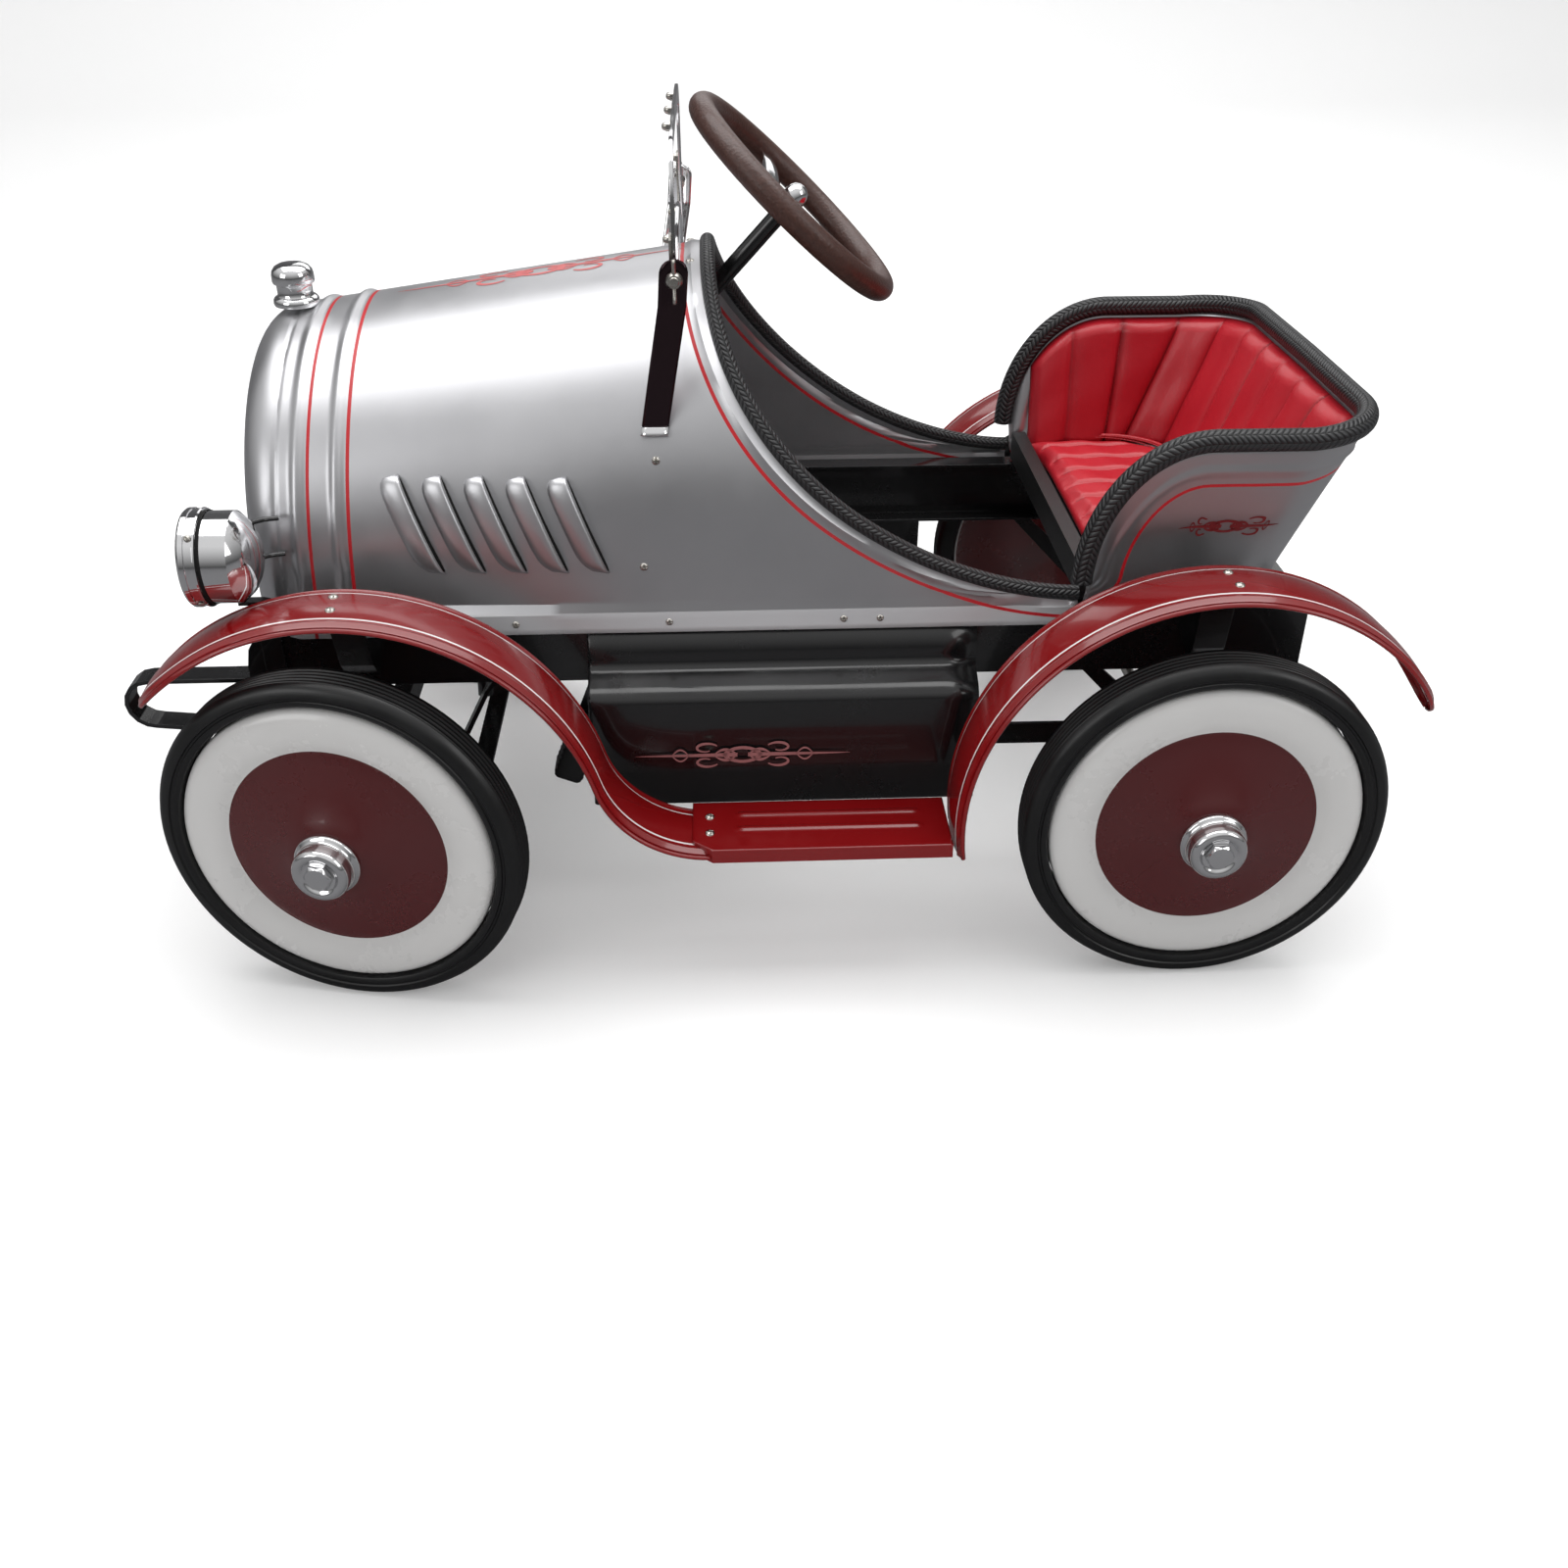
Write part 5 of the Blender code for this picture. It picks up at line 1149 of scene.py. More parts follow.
def braided_finish():
    made, tree, shader = new_finish("braided_black_vinyl", colour(16, 16, 17), coat=0.05)
    along = surface_value(tree, "along")
    turn = surface_value(tree, "round")
    braid = tree.nodes.new("ShaderNodeGroup")
    braid.node_tree = BRAID
    tree.links.new(along, braid.inputs["Along"])
    tree.links.new(turn, braid.inputs["Round"])
    braid.inputs["Pitch"].default_value = 0.0040
    braid.inputs["Strands"].default_value = 8.0
    relief = node(tree, "ShaderNodeBump", Strength=1.0, Distance=0.0011, Height=braid.outputs["Height"])
    tree.links.new(relief.outputs["Normal"], shader.inputs["Normal"])
    # Colour from the braid's height: painted shade in the hollows between strands and painted highlight on the ridges.
    tone = mix_colour(tree, braid.outputs["Height"], colour(2, 2, 2), colour(46, 46, 48))
    tree.links.new(tone, shader.inputs["Base Color"])
    shader.inputs["Roughness"].default_value = 0.38
    return made


BRAIDED = braided_finish()


def cockpit_cord():
    left = []
    for angle in np.linspace(math.pi / 2, 0.0, 150):
        x, z = cockpit_edge(angle)
        reach = HOOD["cowl_half"] - 0.0009
        spring = HOOD["cowl_top"] - HOOD["cowl_half"]
        if z > spring:
            reach *= math.sqrt(max(1.0 - ((z - spring) / HOOD["cowl_half"]) ** 2, 0.0))
        left.append((datum + x, -reach, z))
    line = resampled(left + [(x, -y, z) for x, y, z in reversed(left[:-1])], 320)
    piece = swept("cockpit_braid", line, 0.0052, 20)
    dress(piece, "car", BRAIDED, "black_vinyl", "cockpit_trim")


def resampled(points, count):
    """The line cut into equal steps."""
    points = np.asarray(points, float)
    travelled = np.concatenate([[0.0], np.cumsum(np.linalg.norm(np.diff(points, axis=0), axis=1))])
    keep = np.concatenate([[True], np.diff(travelled) > 1e-9])
    spots = np.linspace(0.0, travelled[-1], count)
    return np.stack([np.interp(spots, travelled[keep], points[keep, i]) for i in range(3)], axis=1)


TUB = {"start": 0.508, "arm": 0.072, "back": 0.645, "corner": 0.050, "low": 0.2482, "rim": 0.362, "rim_half": 0.161,
       "rim_back": 0.691, "front": 0.272}


def tub_point(spot, level, inset):
    """A point on the tub. spot runs 0 to 4 from the left arm's front by its curve, its straight, the corner and the
    back to the middle, and on to 8 for the right side; level is 0 at the bottom and 1 at the rim."""
    mirror = spot > 4.0
    spot = 8.0 - spot if mirror else spot
    half = 0.148 + (TUB["rim_half"] - 0.148) * level ** 1.3 - inset
    lean = (TUB["rim_back"] - TUB["back"]) * level - inset
    corner = TUB["corner"] - inset
    straight = TUB["back"] - TUB["corner"]
    bend = TUB["start"] + TUB["arm"]
    if spot <= 2.0:
        value = TUB["start"] + TUB["arm"] * spot if spot <= 1.0 else bend + (straight - bend) * (spot - 1.0)
        share = min((value - TUB["start"]) / TUB["arm"], 1.0)
        top = TUB["front"] + (TUB["rim"] - TUB["front"]) * math.sqrt(max(1 - (1 - share) ** 2, 0.0))
        stretch = max(0.0, value - bend) / (straight - bend)
        x, y = value + (lean + inset) * min(stretch, 1.0), -half
    elif spot <= 3.0:
        angle = math.pi / 2 * (spot - 2.0)
        top = TUB["rim"] + 0.006 * (spot - 2.0)
        x = straight + lean + inset + corner * math.sin(angle)
        y = -half + corner * (1 - math.cos(angle))
    else:
        top = TUB["rim"] + 0.006 + 0.001 * (spot - 3.0)
        x = straight + lean + inset + corner
        y = (-half + corner) * (4.0 - spot)
    return (datum + x, -y if mirror else y, TUB["low"] + (top - TUB["low"]) * level)


def tub_spots(per_part, start=0.0):
    left = []
    for part, count in enumerate(per_part):
        share = np.linspace(0.0, 1.0, count + 1)[:-1]
        left += list(part + (share ** 1.6 if part == 0 else share))
    left = [s for s in left if s >= start] if start else left
    return left + [4.0] + [8.0 - s for s in reversed(left)]


def seat_tub():
    spots = tub_spots((26, 5, 14, 14))
    rows, gaps = [], []
    levels = np.linspace(0.0, 1.0, 44)
    rim = np.array([tub_point(s, 1.0, 0.0) for s in tub_spots((80, 10, 30, 20))])
    for level in levels:
        row = np.array([tub_point(s, level, 0.0) for s in spots])
        gap = np.min(np.linalg.norm(row[:, None, :] - rim[None, :, :], axis=2), axis=1)
        out = np.array([np.array(tub_point(s, level, -0.001)) - np.array(tub_point(s, level, 0.0)) for s in spots])
        out /= np.maximum(np.linalg.norm(out, axis=1, keepdims=True), 1e-9)
        row += out * (bulge(gap, 0.0150, 0.0038, 0.0014))[:, None]
        rows.append(row)
        gaps.append(gap)
    piece = grid_piece("seat_tub_sheet", rows, flip=False, attributes={"edge_gap": gaps}, smooth_deg=45.0)
    thicken(piece, 0.0016)
    dress(piece, "car", SILVER_TAIL, "silver_body", "seat_tub")


def seat_roll():
    line = np.array([tub_point(s, 1.0, 0.0009) for s in tub_spots((90, 14, 40, 30))])
    along = np.gradient(line, axis=0)
    along /= np.linalg.norm(along, axis=1, keepdims=True)
    inward = np.stack([-along[:, 1], along[:, 0], np.zeros(len(line))], axis=1)
    inward /= np.linalg.norm(inward, axis=1, keepdims=True)
    line = resampled(line + np.cross(along, inward) * 0.0066, 300)
    piece = swept("seat_rim_braid", line, 0.0074, 24)
    dress(piece, "car", BRAIDED, "black_vinyl", "seat_rim_trim")


def vinyl_finish():
    made, tree, shader = new_finish("red_vinyl", (0.4, 0.02, 0.03), coat=0.12)
    where = node(tree, "ShaderNodeTexCoord").outputs["Object"]
    grain = node(tree, "ShaderNodeTexVoronoi", {"feature": "DISTANCE_TO_EDGE"}, Vector=where, Scale=900.0)
    crease = node(tree, "ShaderNodeTexNoise", Vector=where, Scale=38.0, Detail=3.0, Distortion=0.6)
    height = math_of(tree, "MULTIPLY_ADD", crease.outputs["Fac"], 3.0, grain.outputs["Distance"])
    relief = node(tree, "ShaderNodeBump", Strength=0.22, Distance=0.0008, Height=height)
    tree.links.new(relief.outputs["Normal"], shader.inputs["Normal"])
    marks = tree.nodes.new("ShaderNodeGroup")
    marks.node_tree = HANDLING_MARKS
    tree.links.new(where, marks.inputs["Vector"])
    marks.inputs["Scale"].default_value = 9.0
    marks.inputs["Low"].default_value = 0.30
    marks.inputs["High"].default_value = 0.46
    tree.links.new(marks.outputs["Roughness"], shader.inputs["Roughness"])
    red = mix_colour(tree, marks.outputs["Tone"], colour(172, 22, 36), colour(192, 32, 46))
    seam = surface_value(tree, "seam")
    tree.links.new(mix_colour(tree, seam, red, colour(128, 12, 22)), shader.inputs["Base Color"])
    return made


VINYL = vinyl_finish()


def seat_lining():
    first, last = 0.16, 7.84
    base_spots = [s for s in tub_spots((60, 14, 56, 60)) if first <= s <= last]
    line = np.array([tub_point(s, 0.8, 0.002) for s in base_spots])
    travelled = np.concatenate([[0.0], np.cumsum(np.linalg.norm(np.diff(line, axis=0), axis=1))])
    channels = 15
    pitch = travelled[-1] / channels
    levels = np.linspace(0.0, 1.0, 30)
    rows, seams = [], []
    for share in levels:
        level = 0.10 + 0.88 * share
        row, seam = [], []
        for spot, way in zip(base_spots, travelled):
            ends = min(way, travelled[-1] - way)
            phase = (way / pitch) % 1.0
            channel = (1.0 - abs(2 * phase - 1.0) ** 2.6) ** 0.55
            fade = (min(ends / 0.010, 1.0) ** 0.5 * min((1.0 - share) / 0.07, 1.0) ** 0.5
                    * min(share / 0.05 + 0.25, 1.0) ** 0.5)
            wrinkle = 0.0007 * math.sin(0.5 * way / pitch + 7.0 * share) * math.sin(5.0 * share + 1.7 * way / pitch)
            depth = 0.0020 + (0.0040 + 0.0062 * channel + wrinkle) * fade
            row.append(tub_point(spot, level, 0.0018 + depth))
            seam.append(max(0.0, 1.0 - min(phase, 1 - phase) / 0.02) if ends > pitch * 0.5 else 0.0)
        rows.append(row)
        seams.append(seam)
    piece = grid_piece("seat_lining", rows, flip=True, attributes={"seam": seams}, smooth_deg=70.0)
    thicken(piece, 0.0022)
    dress(piece, "car", VINYL, "red_vinyl", "back_cushion")
    thread = []
    for index in range(1, channels):
        for share in np.linspace(0.05, 0.94, 26):
            spot = float(np.interp(index * pitch, travelled, base_spots))
            inside = np.array(tub_point(spot, 0.10 + 0.88 * share, 0.0018 + 0.0062))
            deeper = np.array(tub_point(spot, 0.10 + 0.88 * share, 0.0018 + 0.0072))
            above = np.array(tub_point(spot, 0.10 + 0.88 * min(share + 0.01, 1.0), 0.0018 + 0.0062))
            thread.append((tuple(inside), tuple(deeper - inside), tuple(above - inside), (1.0, 1.0, 1.0)))
    set_copies("lining_stitches", STITCH, thread, VINYL_THREAD, "car", "red_vinyl")


def seat_outline(clearance):
    half = 0.148 - 0.0018 - clearance
    back = TUB["back"] - 0.0018 - clearance
    corner = TUB["corner"]
    front = 0.519
    points = [(front, -half), (back - corner, -half)]
    for a in np.linspace(0.1, math.pi / 2, 9):
        points.append((back - corner + corner * math.sin(a), -half + corner * (1 - math.cos(a))))
    return [(datum + x, y) for x, y in points + [(x, -y) for x, y in reversed(points)]]


def seat_cushion():
    low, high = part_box("seat_cushion")
    outline = seat_outline(0.0060)
    shape = bmesh.new()
    bottom = [shape.verts.new((x, y, low.z + 0.0010)) for x, y in outline]
    top = [shape.verts.new((x, y, high.z - 0.0085)) for x, y in outline]
    shape.faces.new(list(reversed(bottom)))
    shape.faces.new(top)
    for i in range(len(outline)):
        j = (i + 1) % len(outline)
        shape.faces.new((bottom[i], bottom[j], top[j], top[i]))
    bmesh.ops.recalc_face_normals(shape, faces=shape.faces)
    mesh = bpy.data.meshes.new("seat_pad_start")
    shape.to_mesh(mesh)
    shape.free()
    pad = bpy.data.objects.new("seat_pad_start", mesh)
    bpy.context.scene.collection.objects.link(pad)
    remesh = pad.modifiers.new("Even", "REMESH")
    remesh.mode = "VOXEL"
    remesh.voxel_size = 0.0042
    pad = plain_mesh(pad, "seat_cushion_pad")
    start = np.empty(len(pad.data.vertices) * 3)
    pad.data.vertices.foreach_get("co", start)
    cloth = pad.modifiers.new("Fill", "CLOTH")
    cloth.settings.use_pressure = True
    cloth.settings.uniform_pressure_force = 4.0
    cloth.settings.effector_weights.gravity = 0.0
    for step in range(1, 21):
        bpy.context.scene.frame_set(step)
    pad = plain_mesh(pad, "seat_cushion_pad")
    bpy.context.scene.frame_set(1)
    points = np.empty(len(pad.data.vertices) * 3)
    pad.data.vertices.foreach_get("co", points)
    move = (points - start).reshape(-1, 3)
    length = np.maximum(np.linalg.norm(move, axis=1, keepdims=True), 1e-9)
    points = start.reshape(-1, 3) + move * np.minimum(length, 0.0075) / length
    points[:, 2] = np.clip(points[:, 2], low.z + 0.0003, high.z + 0.0040)
    pad.data.vertices.foreach_set("co", points.reshape(-1))
    pad.data.update()
    soften = pad.modifiers.new("Soften", "SUBSURF")
    soften.levels = soften.render_levels = 2
    pad = plain_mesh(pad, "seat_cushion_pad")
    points = np.empty(len(pad.data.vertices) * 3)
    pad.data.vertices.foreach_get("co", points)
    points = points.reshape(-1, 3)
    middle = (low.z + high.z) / 2
    upper = np.clip((points[:, 2] - middle) / (high.z - middle), 0.0, 1.0)
    channels = 10
    pitch = 2 * (0.148 - 0.010) / channels
    phase = ((points[:, 1] + 0.138) / pitch) % 1.0
    near_back = np.clip((datum + 0.612 - points[:, 0]) / 0.012, 0.0, 1.0)
    groove = np.exp(-(np.minimum(phase, 1 - phase) * pitch / 0.0026) ** 2) * near_back
    points[:, 2] -= 0.0034 * groove * upper
    points[:, 2] += 0.0006 * np.sin(points[:, 0] * 190 + points[:, 1] * 60) * upper
    points[:, 2] = np.minimum(points[:, 2], high.z + 0.0040)
    pad.data.vertices.foreach_set("co", points.reshape(-1))
    seam = np.clip(1.0 - np.minimum(phase, 1 - phase) * pitch / 0.0012, 0.0, 1.0) * near_back * (upper > 0.3)
    layer = pad.data.attributes.new("seam", "FLOAT", "POINT")
    layer.data.foreach_set("value", seam.astype(np.float32))
    pad.data.update()
    pad.data.shade_smooth()
    dress(pad, "car", VINYL, "red_vinyl", "seat_cushion")
    crown = float(points[:, 2].max())
    piping = []
    for x, y in seat_outline(0.013)[1:-1]:
        piping.append((x, y, crown - 0.0020))
    cord = swept("seat_cushion_piping", resampled(piping, 160), 0.0016, 10)
    dress(cord, "car", VINYL, "red_vinyl")
    sewn = []
    for offset in (0.0175, 0.0215):
        line = resampled([(x, y, crown - 0.0006) for x, y in seat_outline(offset)[1:-1]], 120)
        for here, after in zip(line[:-1], line[1:]):
            sewn.append((tuple(here), (0.0, 0.0, 1.0), tuple(after - here), (1.0, 1.0, 1.0)))
    set_copies("cushion_stitches", STITCH, sewn, VINYL_THREAD, "car", "red_vinyl")


STITCH = small_part("stitch", *bar_box((-0.0003, -0.0003, -0.0003), (0.0003, 0.0003, 0.0003)))
STITCH.data.transform(Matrix.Diagonal((3.6, 1.0, 0.8, 1.0)))
VINYL_THREAD = flat_paint("red_thread", colour(196, 70, 78), 0.6)
cockpit_cord()
seat_tub()
seat_roll()
seat_lining()
seat_cushion()
for side, label in ((-1, "left"), (1, "right")):

    def tub_side_spot(u, v, s=side):
        way = 0.078 + u
        if way < 0.072:
            spot = way / 0.072
        else:
            spot = 1.0 + (way - 0.072) / 0.015 if way < 0.087 else 2.0 + (way - 0.087) / 0.0785
        point = tub_point(spot, 0.52 + v / 0.11, -0.0003)
        return (point[0], point[1] if s < 0 else -point[1], point[2])

    flourish(f"seat_flourish_{label}", tub_side_spot, 0.044, 0.036, "car", DARK_RED, "red_paint", side < 0)


# Steering wheel and column: a grained rim on three chromed spokes, held on the threaded top of a black column by a
# domed chrome nut.


def column_frame():
    joint = [j for j in frame["joints"] if j["name"] == "column_turn"][0]
    axis = Vector(joint["axis"]).normalized()
    place = Vector(joint["pos_m"])
    forward = Vector((-axis.z, 0.0, axis.x))
    across = axis.cross(forward)
    basis = Matrix(((forward.x, across.x, axis.x, place.x), (forward.y, across.y, axis.y, place.y),
                    (forward.z, across.z, axis.z, place.z), (0, 0, 0, 1)))
    return basis @ Matrix.Rotation(math.radians(-14.7), 4, "Z")


COLUMN = column_frame()
RIM_REACH = 0.0835
RIM_TUBE = 0.0087
RIM_DISH = 0.015


def rim_finish():
    made, tree, shader = new_finish("dark_grained_rim", (0.04, 0.02, 0.015), coat=0.1)
    where = node(tree, "ShaderNodeTexCoord").outputs["Object"]
    stretched = node(tree, "ShaderNodeMapping", Vector=where, Scale=(60.0, 60.0, 60.0))
    grain = node(tree, "ShaderNodeTexNoise", Vector=stretched.outputs["Vector"], Scale=5.0, Detail=6.0, Roughness=0.7,
                 Distortion=1.2)
    dots = node(tree, "ShaderNodeTexVoronoi", Vector=where, Scale=520.0)
    height = math_of(tree, "MULTIPLY_ADD", grain.outputs["Fac"], 1.6, dots.outputs["Distance"])
    relief = node(tree, "ShaderNodeBump", Strength=0.35, Distance=0.0006, Height=height)
    tree.links.new(relief.outputs["Normal"], shader.inputs["Normal"])
    tone = mix_colour(tree, grain.outputs["Fac"], colour(34, 18, 15), colour(88, 54, 44))
    tree.links.new(tone, shader.inputs["Base Color"])
    shader.inputs["Roughness"].default_value = 0.36
    return made


GRAINED = rim_finish()


def steering():
    ring = [(RIM_REACH + RIM_TUBE * math.sin(a), RIM_DISH + RIM_TUBE * math.cos(a))
            for a in np.linspace(0.0, 2 * math.pi, 29)]
    rim = turned_piece("steering_rim", ring, 128, COLUMN, 80.0)
    dress(rim, "steering", GRAINED, "grained_rim", "steering_wheel_rim")
    plate = [(0.0056, 0.0040), (0.0150, 0.0041), (0.0205, 0.0038), (0.0226, 0.0030), (0.0230, 0.0018), (0.0224, 0.0008),
             (0.0056, 0.0008), (0.0056, 0.0040)]
    hub = turned_piece("steering_hub_plate", plate, 64, COLUMN, 40.0)
    dress(hub, "steering", CHROME, "chrome", "steering_wheel_spokes")
    end = RIM_REACH - RIM_TUBE + 0.0010
    for index in range(3):
        turn = COLUMN @ Matrix.Rotation(math.radians(60 + 120 * index), 4, "Z")
        rows = []
        for t in np.linspace(0.0, 1.0, 26):
            reach = 0.016 + (end - 0.016) * t
            height = 0.0034 + (RIM_DISH - 0.0034) * (3 * t * t - 2 * t ** 3)
            half = 0.0088 - 0.0018 * t
            row = []
            for w in np.linspace(-1.0, 1.0, 9):
                row.append(tuple(turn @ Vector((reach, half * w, height + 0.0010 * (1 - w * w)))))
            rows.append(row)
        spoke = grid_piece(f"steering_spoke_{index + 1}", rows, flip=True)
        thicken(spoke, 0.0018)
        dress(spoke, "steering", CHROME, "chrome")
    washer = [(0.0056, 0.0052), (0.0112, 0.0052), (0.0116, 0.0048), (0.0116, 0.0042), (0.0056, 0.0042),
              (0.0056, 0.0052)]
    dress(turned_piece("steering_washer", washer, 48, COLUMN), "steering", STEEL, "bright_steel")
    rows = []
    for radius, height, hexed in ((0.0, 0.0252, 0), (0.0030, 0.0246, 0), (0.0058, 0.0228, 0), (0.0074, 0.0200, 0),
                                  (0.0081, 0.0166, 0), (0.0083, 0.0136, 0), (0.0086, 0.0130, 1), (0.0098, 0.0118, 1),
                                  (0.0098, 0.0054, 1), (0.0092, 0.0048, 1), (0.0056, 0.0048, 0)):
        row = []
        for i in range(48):
            a = 2 * math.pi * i / 48
            flat = math.cos(math.pi / 6) / math.cos((a % (math.pi / 3)) - math.pi / 6) if hexed else 1.0
            row.append(tuple(COLUMN @ Vector((radius * flat * math.cos(a), radius * flat * math.sin(a), height))))
        rows.append(row)
    nut = grid_piece("steering_dome_nut", rows, wrap=True, flip=True)
    weld_poles(nut)
    nut.data.shade_smooth()
    nut.data.set_sharp_from_angle(angle=math.radians(28))
    dress(nut, "steering", CHROME, "chrome", "steering_nut")
    slope = math.atan2(COLUMN.col[2].z, COLUMN.col[2].x)
    foot = (COLUMN @ Vector((0.0, 0.0, -0.392))).z
    toe = foot - 0.050 * math.cos(slope)
    drop = toe - (axle_z - 0.015 + 0.0065)
    knee = [(0.0, 0.0, 0.0), (0.0, 0.0, -0.384)]
    for t in np.linspace(0.0, 1.0, 7)[1:]:
        a = t * math.pi / 2
        knee.append((-0.008 * (1 - math.cos(a)), 0.0, -0.384 - 0.008 * math.sin(a)))
    knee += [(-0.042, 0.0, -0.392)]
    end_tip = Vector((-0.050, 0.0, -0.392)) + drop * Vector((-math.cos(slope), 0.0, -math.sin(slope)))
    knee += [(-0.047, 0.0, -0.3926), tuple(Vector((-0.050, 0.0, -0.392)).lerp(end_tip, 0.2)), tuple(end_tip)]
    rod = resampled([tuple(COLUMN @ Vector(p)) for p in knee], 120)
    column = swept("steering_rod", rod, 0.0060, 24)
    dress(column, "steering", BLACK_PAINT, "black_paint", "steering_column")


steering()


# Headlamps: chromed drums with a screwed lens ring, a fluted glass in front and a domed back, each on a curved black
# bracket and steadied by two thin bars to the hood.


def glass_finish():
    made, tree, shader = new_finish("lamp_glass", (0.80, 0.82, 0.84), coat=0.8)
    where = node(tree, "ShaderNodeTexCoord").outputs["Object"]
    flutes = node(tree, "ShaderNodeTexWave", {"bands_direction": "Y"}, Vector=where, Scale=70.0)
    relief = node(tree, "ShaderNodeBump", Strength=0.5, Distance=0.0008, Height=flutes.outputs["Fac"])
    tree.links.new(relief.outputs["Normal"], shader.inputs["Normal"])
    shader.inputs["Metallic"].default_value = 0.5
    shader.inputs["Roughness"].default_value = 0.18
    return made


LAMP_GLASS = glass_finish()


def headlamp(side, label):
    low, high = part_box("lamp_" + label)
    place = (low + high) / 2
    spot = Matrix.Translation(place) @ Matrix.Rotation(-math.pi / 2, 4, "Y")
    half, front = 0.0315, 0.022
    drum = [(0.0, front - 0.0066), (half - 0.0064, front - 0.0066), (half - 0.0060, front - 0.0006),
            (half - 0.0040, front),
            (half - 0.0012, front - 0.0004), (half, front - 0.0020), (half, front - 0.0050),
            (half - 0.0007, front - 0.0054),
            (half - 0.0007, front - 0.0104), (half, front - 0.0108), (half - 0.0004, front - 0.0118),
            (half - 0.0030, front - 0.0121), (half - 0.0031, front - 0.0136), (half - 0.0022, front - 0.0142),
            (half - 0.0022, -front + 0.0136), (half - 0.0030, -front + 0.0126), (half - 0.0085, -front + 0.0066),
            (half - 0.0160, -front + 0.0026), (0.0090, -front + 0.0006), (0.0, -front)]
    shell = turned_piece(f"lamp_{label}_drum", drum, 80, spot, 26.0)
    dress(shell, "car", CHROME, "chrome", "lamp_" + label)
    lens = [(0.0, front - 0.0006), (0.0080, front - 0.0010), (0.0160, front - 0.0020), (0.0220, front - 0.0030),
            (half - 0.0060, front - 0.0040), (half - 0.0060, front - 0.0060)]
    dress(turned_piece(f"lamp_{label}_glass", lens, 64, spot, 40.0), "car", LAMP_GLASS, "chrome")
    # The groove behind the lens ring is a near-black band of painted shade.
    groove = [(half - 0.0016, front - 0.0120), (half - 0.0016, front - 0.0142)]
    dress(turned_piece(f"lamp_{label}_groove", groove, 64, spot), "car", SHADOW_BLACK, "black_paint")
    ring = []
    for index in range(4):
        a = math.radians(45 + 90 * index)
        out = spot.to_3x3() @ Vector((math.cos(a), math.sin(a), 0.0))
        ring.append((tuple(spot @ Vector((half * math.cos(a), half * math.sin(a), front - 0.0080))), tuple(out),
                     tuple(spot.col[2].xyz), (0.55, 0.55, 0.6)))
    set_copies(f"lamp_{label}_screws", SCREW, ring, STEEL, "car", "bright_steel")
    for rise, tag in ((0.013, "upper"), (-0.012, "lower")):
        wall = side * (0.141 - 0.012)
        bar = [(place.x + 0.012, place.y - side * 0.024, place.z + rise),
               (place.x + 0.018, side * (0.141 + 0.004), place.z + rise - 0.001),
               (place.x + 0.026, wall + side * 0.0115, place.z + rise - 0.002)]
        rod = swept(f"lamp_{label}_{tag}_bar", resampled(bar, 12), 0.0017, 8)
        dress(rod, "car", BLACK_PAINT, "black_paint")


def screw_shape():
    """A domed head with a cross recess, of unit radius 4 mm."""
    rows = []
    for radius, height in ((0.0, 0.0019), (0.0010, 0.0019), (0.0020, 0.0017),
                           (0.0030, 0.0012), (0.0037, 0.0005), (0.0040, -0.0002)):
        row = []
        for i in range(24):
            a = 2 * math.pi * i / 24
            cut = 0.0011 if (i % 6 == 0 and radius < 0.0025) or radius == 0.0 else 0.0
            row.append((radius * math.cos(a), radius * math.sin(a), height - cut))
        rows.append(row)
    points = [p for row in rows for p in row]
    faces = []
    for i in range(len(rows) - 1):
        for j in range(24):
            k = (j + 1) % 24
            faces.append((i * 24 + j, (i + 1) * 24 + j, (i + 1) * 24 + k, i * 24 + k))
    return points, faces


SCREW = small_part("dome_screw", *screw_shape())
for side, label in ((-1, "left"), (1, "right")):
    headlamp(side, label)


# Windscreen: a chromed strip bent into a loop and held together by domed nuts, with two nickel plates, clamped
# between two upright straps by wing nuts.


screen_joint = [j for j in frame["joints"] if j["name"] == "windscreen_tilt"][0]
SCREEN_X, _, SCREEN_Z = screen_joint["pos_m"]
SCREEN_HALF = 0.1425


def screen_loop():
    half, top, low = SCREEN_HALF - 0.0045, 0.077 - 0.0045, -0.050 + 0.0045
    shoulder, heel = 0.030, 0.014
    right = [(y, top - 0.002 * y / 0.1) for y in np.linspace(0.0, 0.09, 10)]
    for a in np.radians(np.linspace(90.0, 0.0, 15)):
        right.append((half - 0.010 - shoulder + shoulder * math.cos(a),
                      top - 0.002 - shoulder + shoulder * math.sin(a)))
    for a in np.radians(np.linspace(0.0, -112.5, 16)):
        right.append((half - heel + heel * math.cos(a), low + heel + heel * math.sin(a)))
    crest, span = 0.008, right[-1][0]
    sag = crest - right[-1][1]
    for share in np.linspace(0.0, 1.0, 22)[1:]:
        y = span * (1 - share)
        right.append((y, crest - sag * (y / span) ** 2))
    loop = right + [(-y, z) for y, z in reversed(right[1:-1])]
    return loop


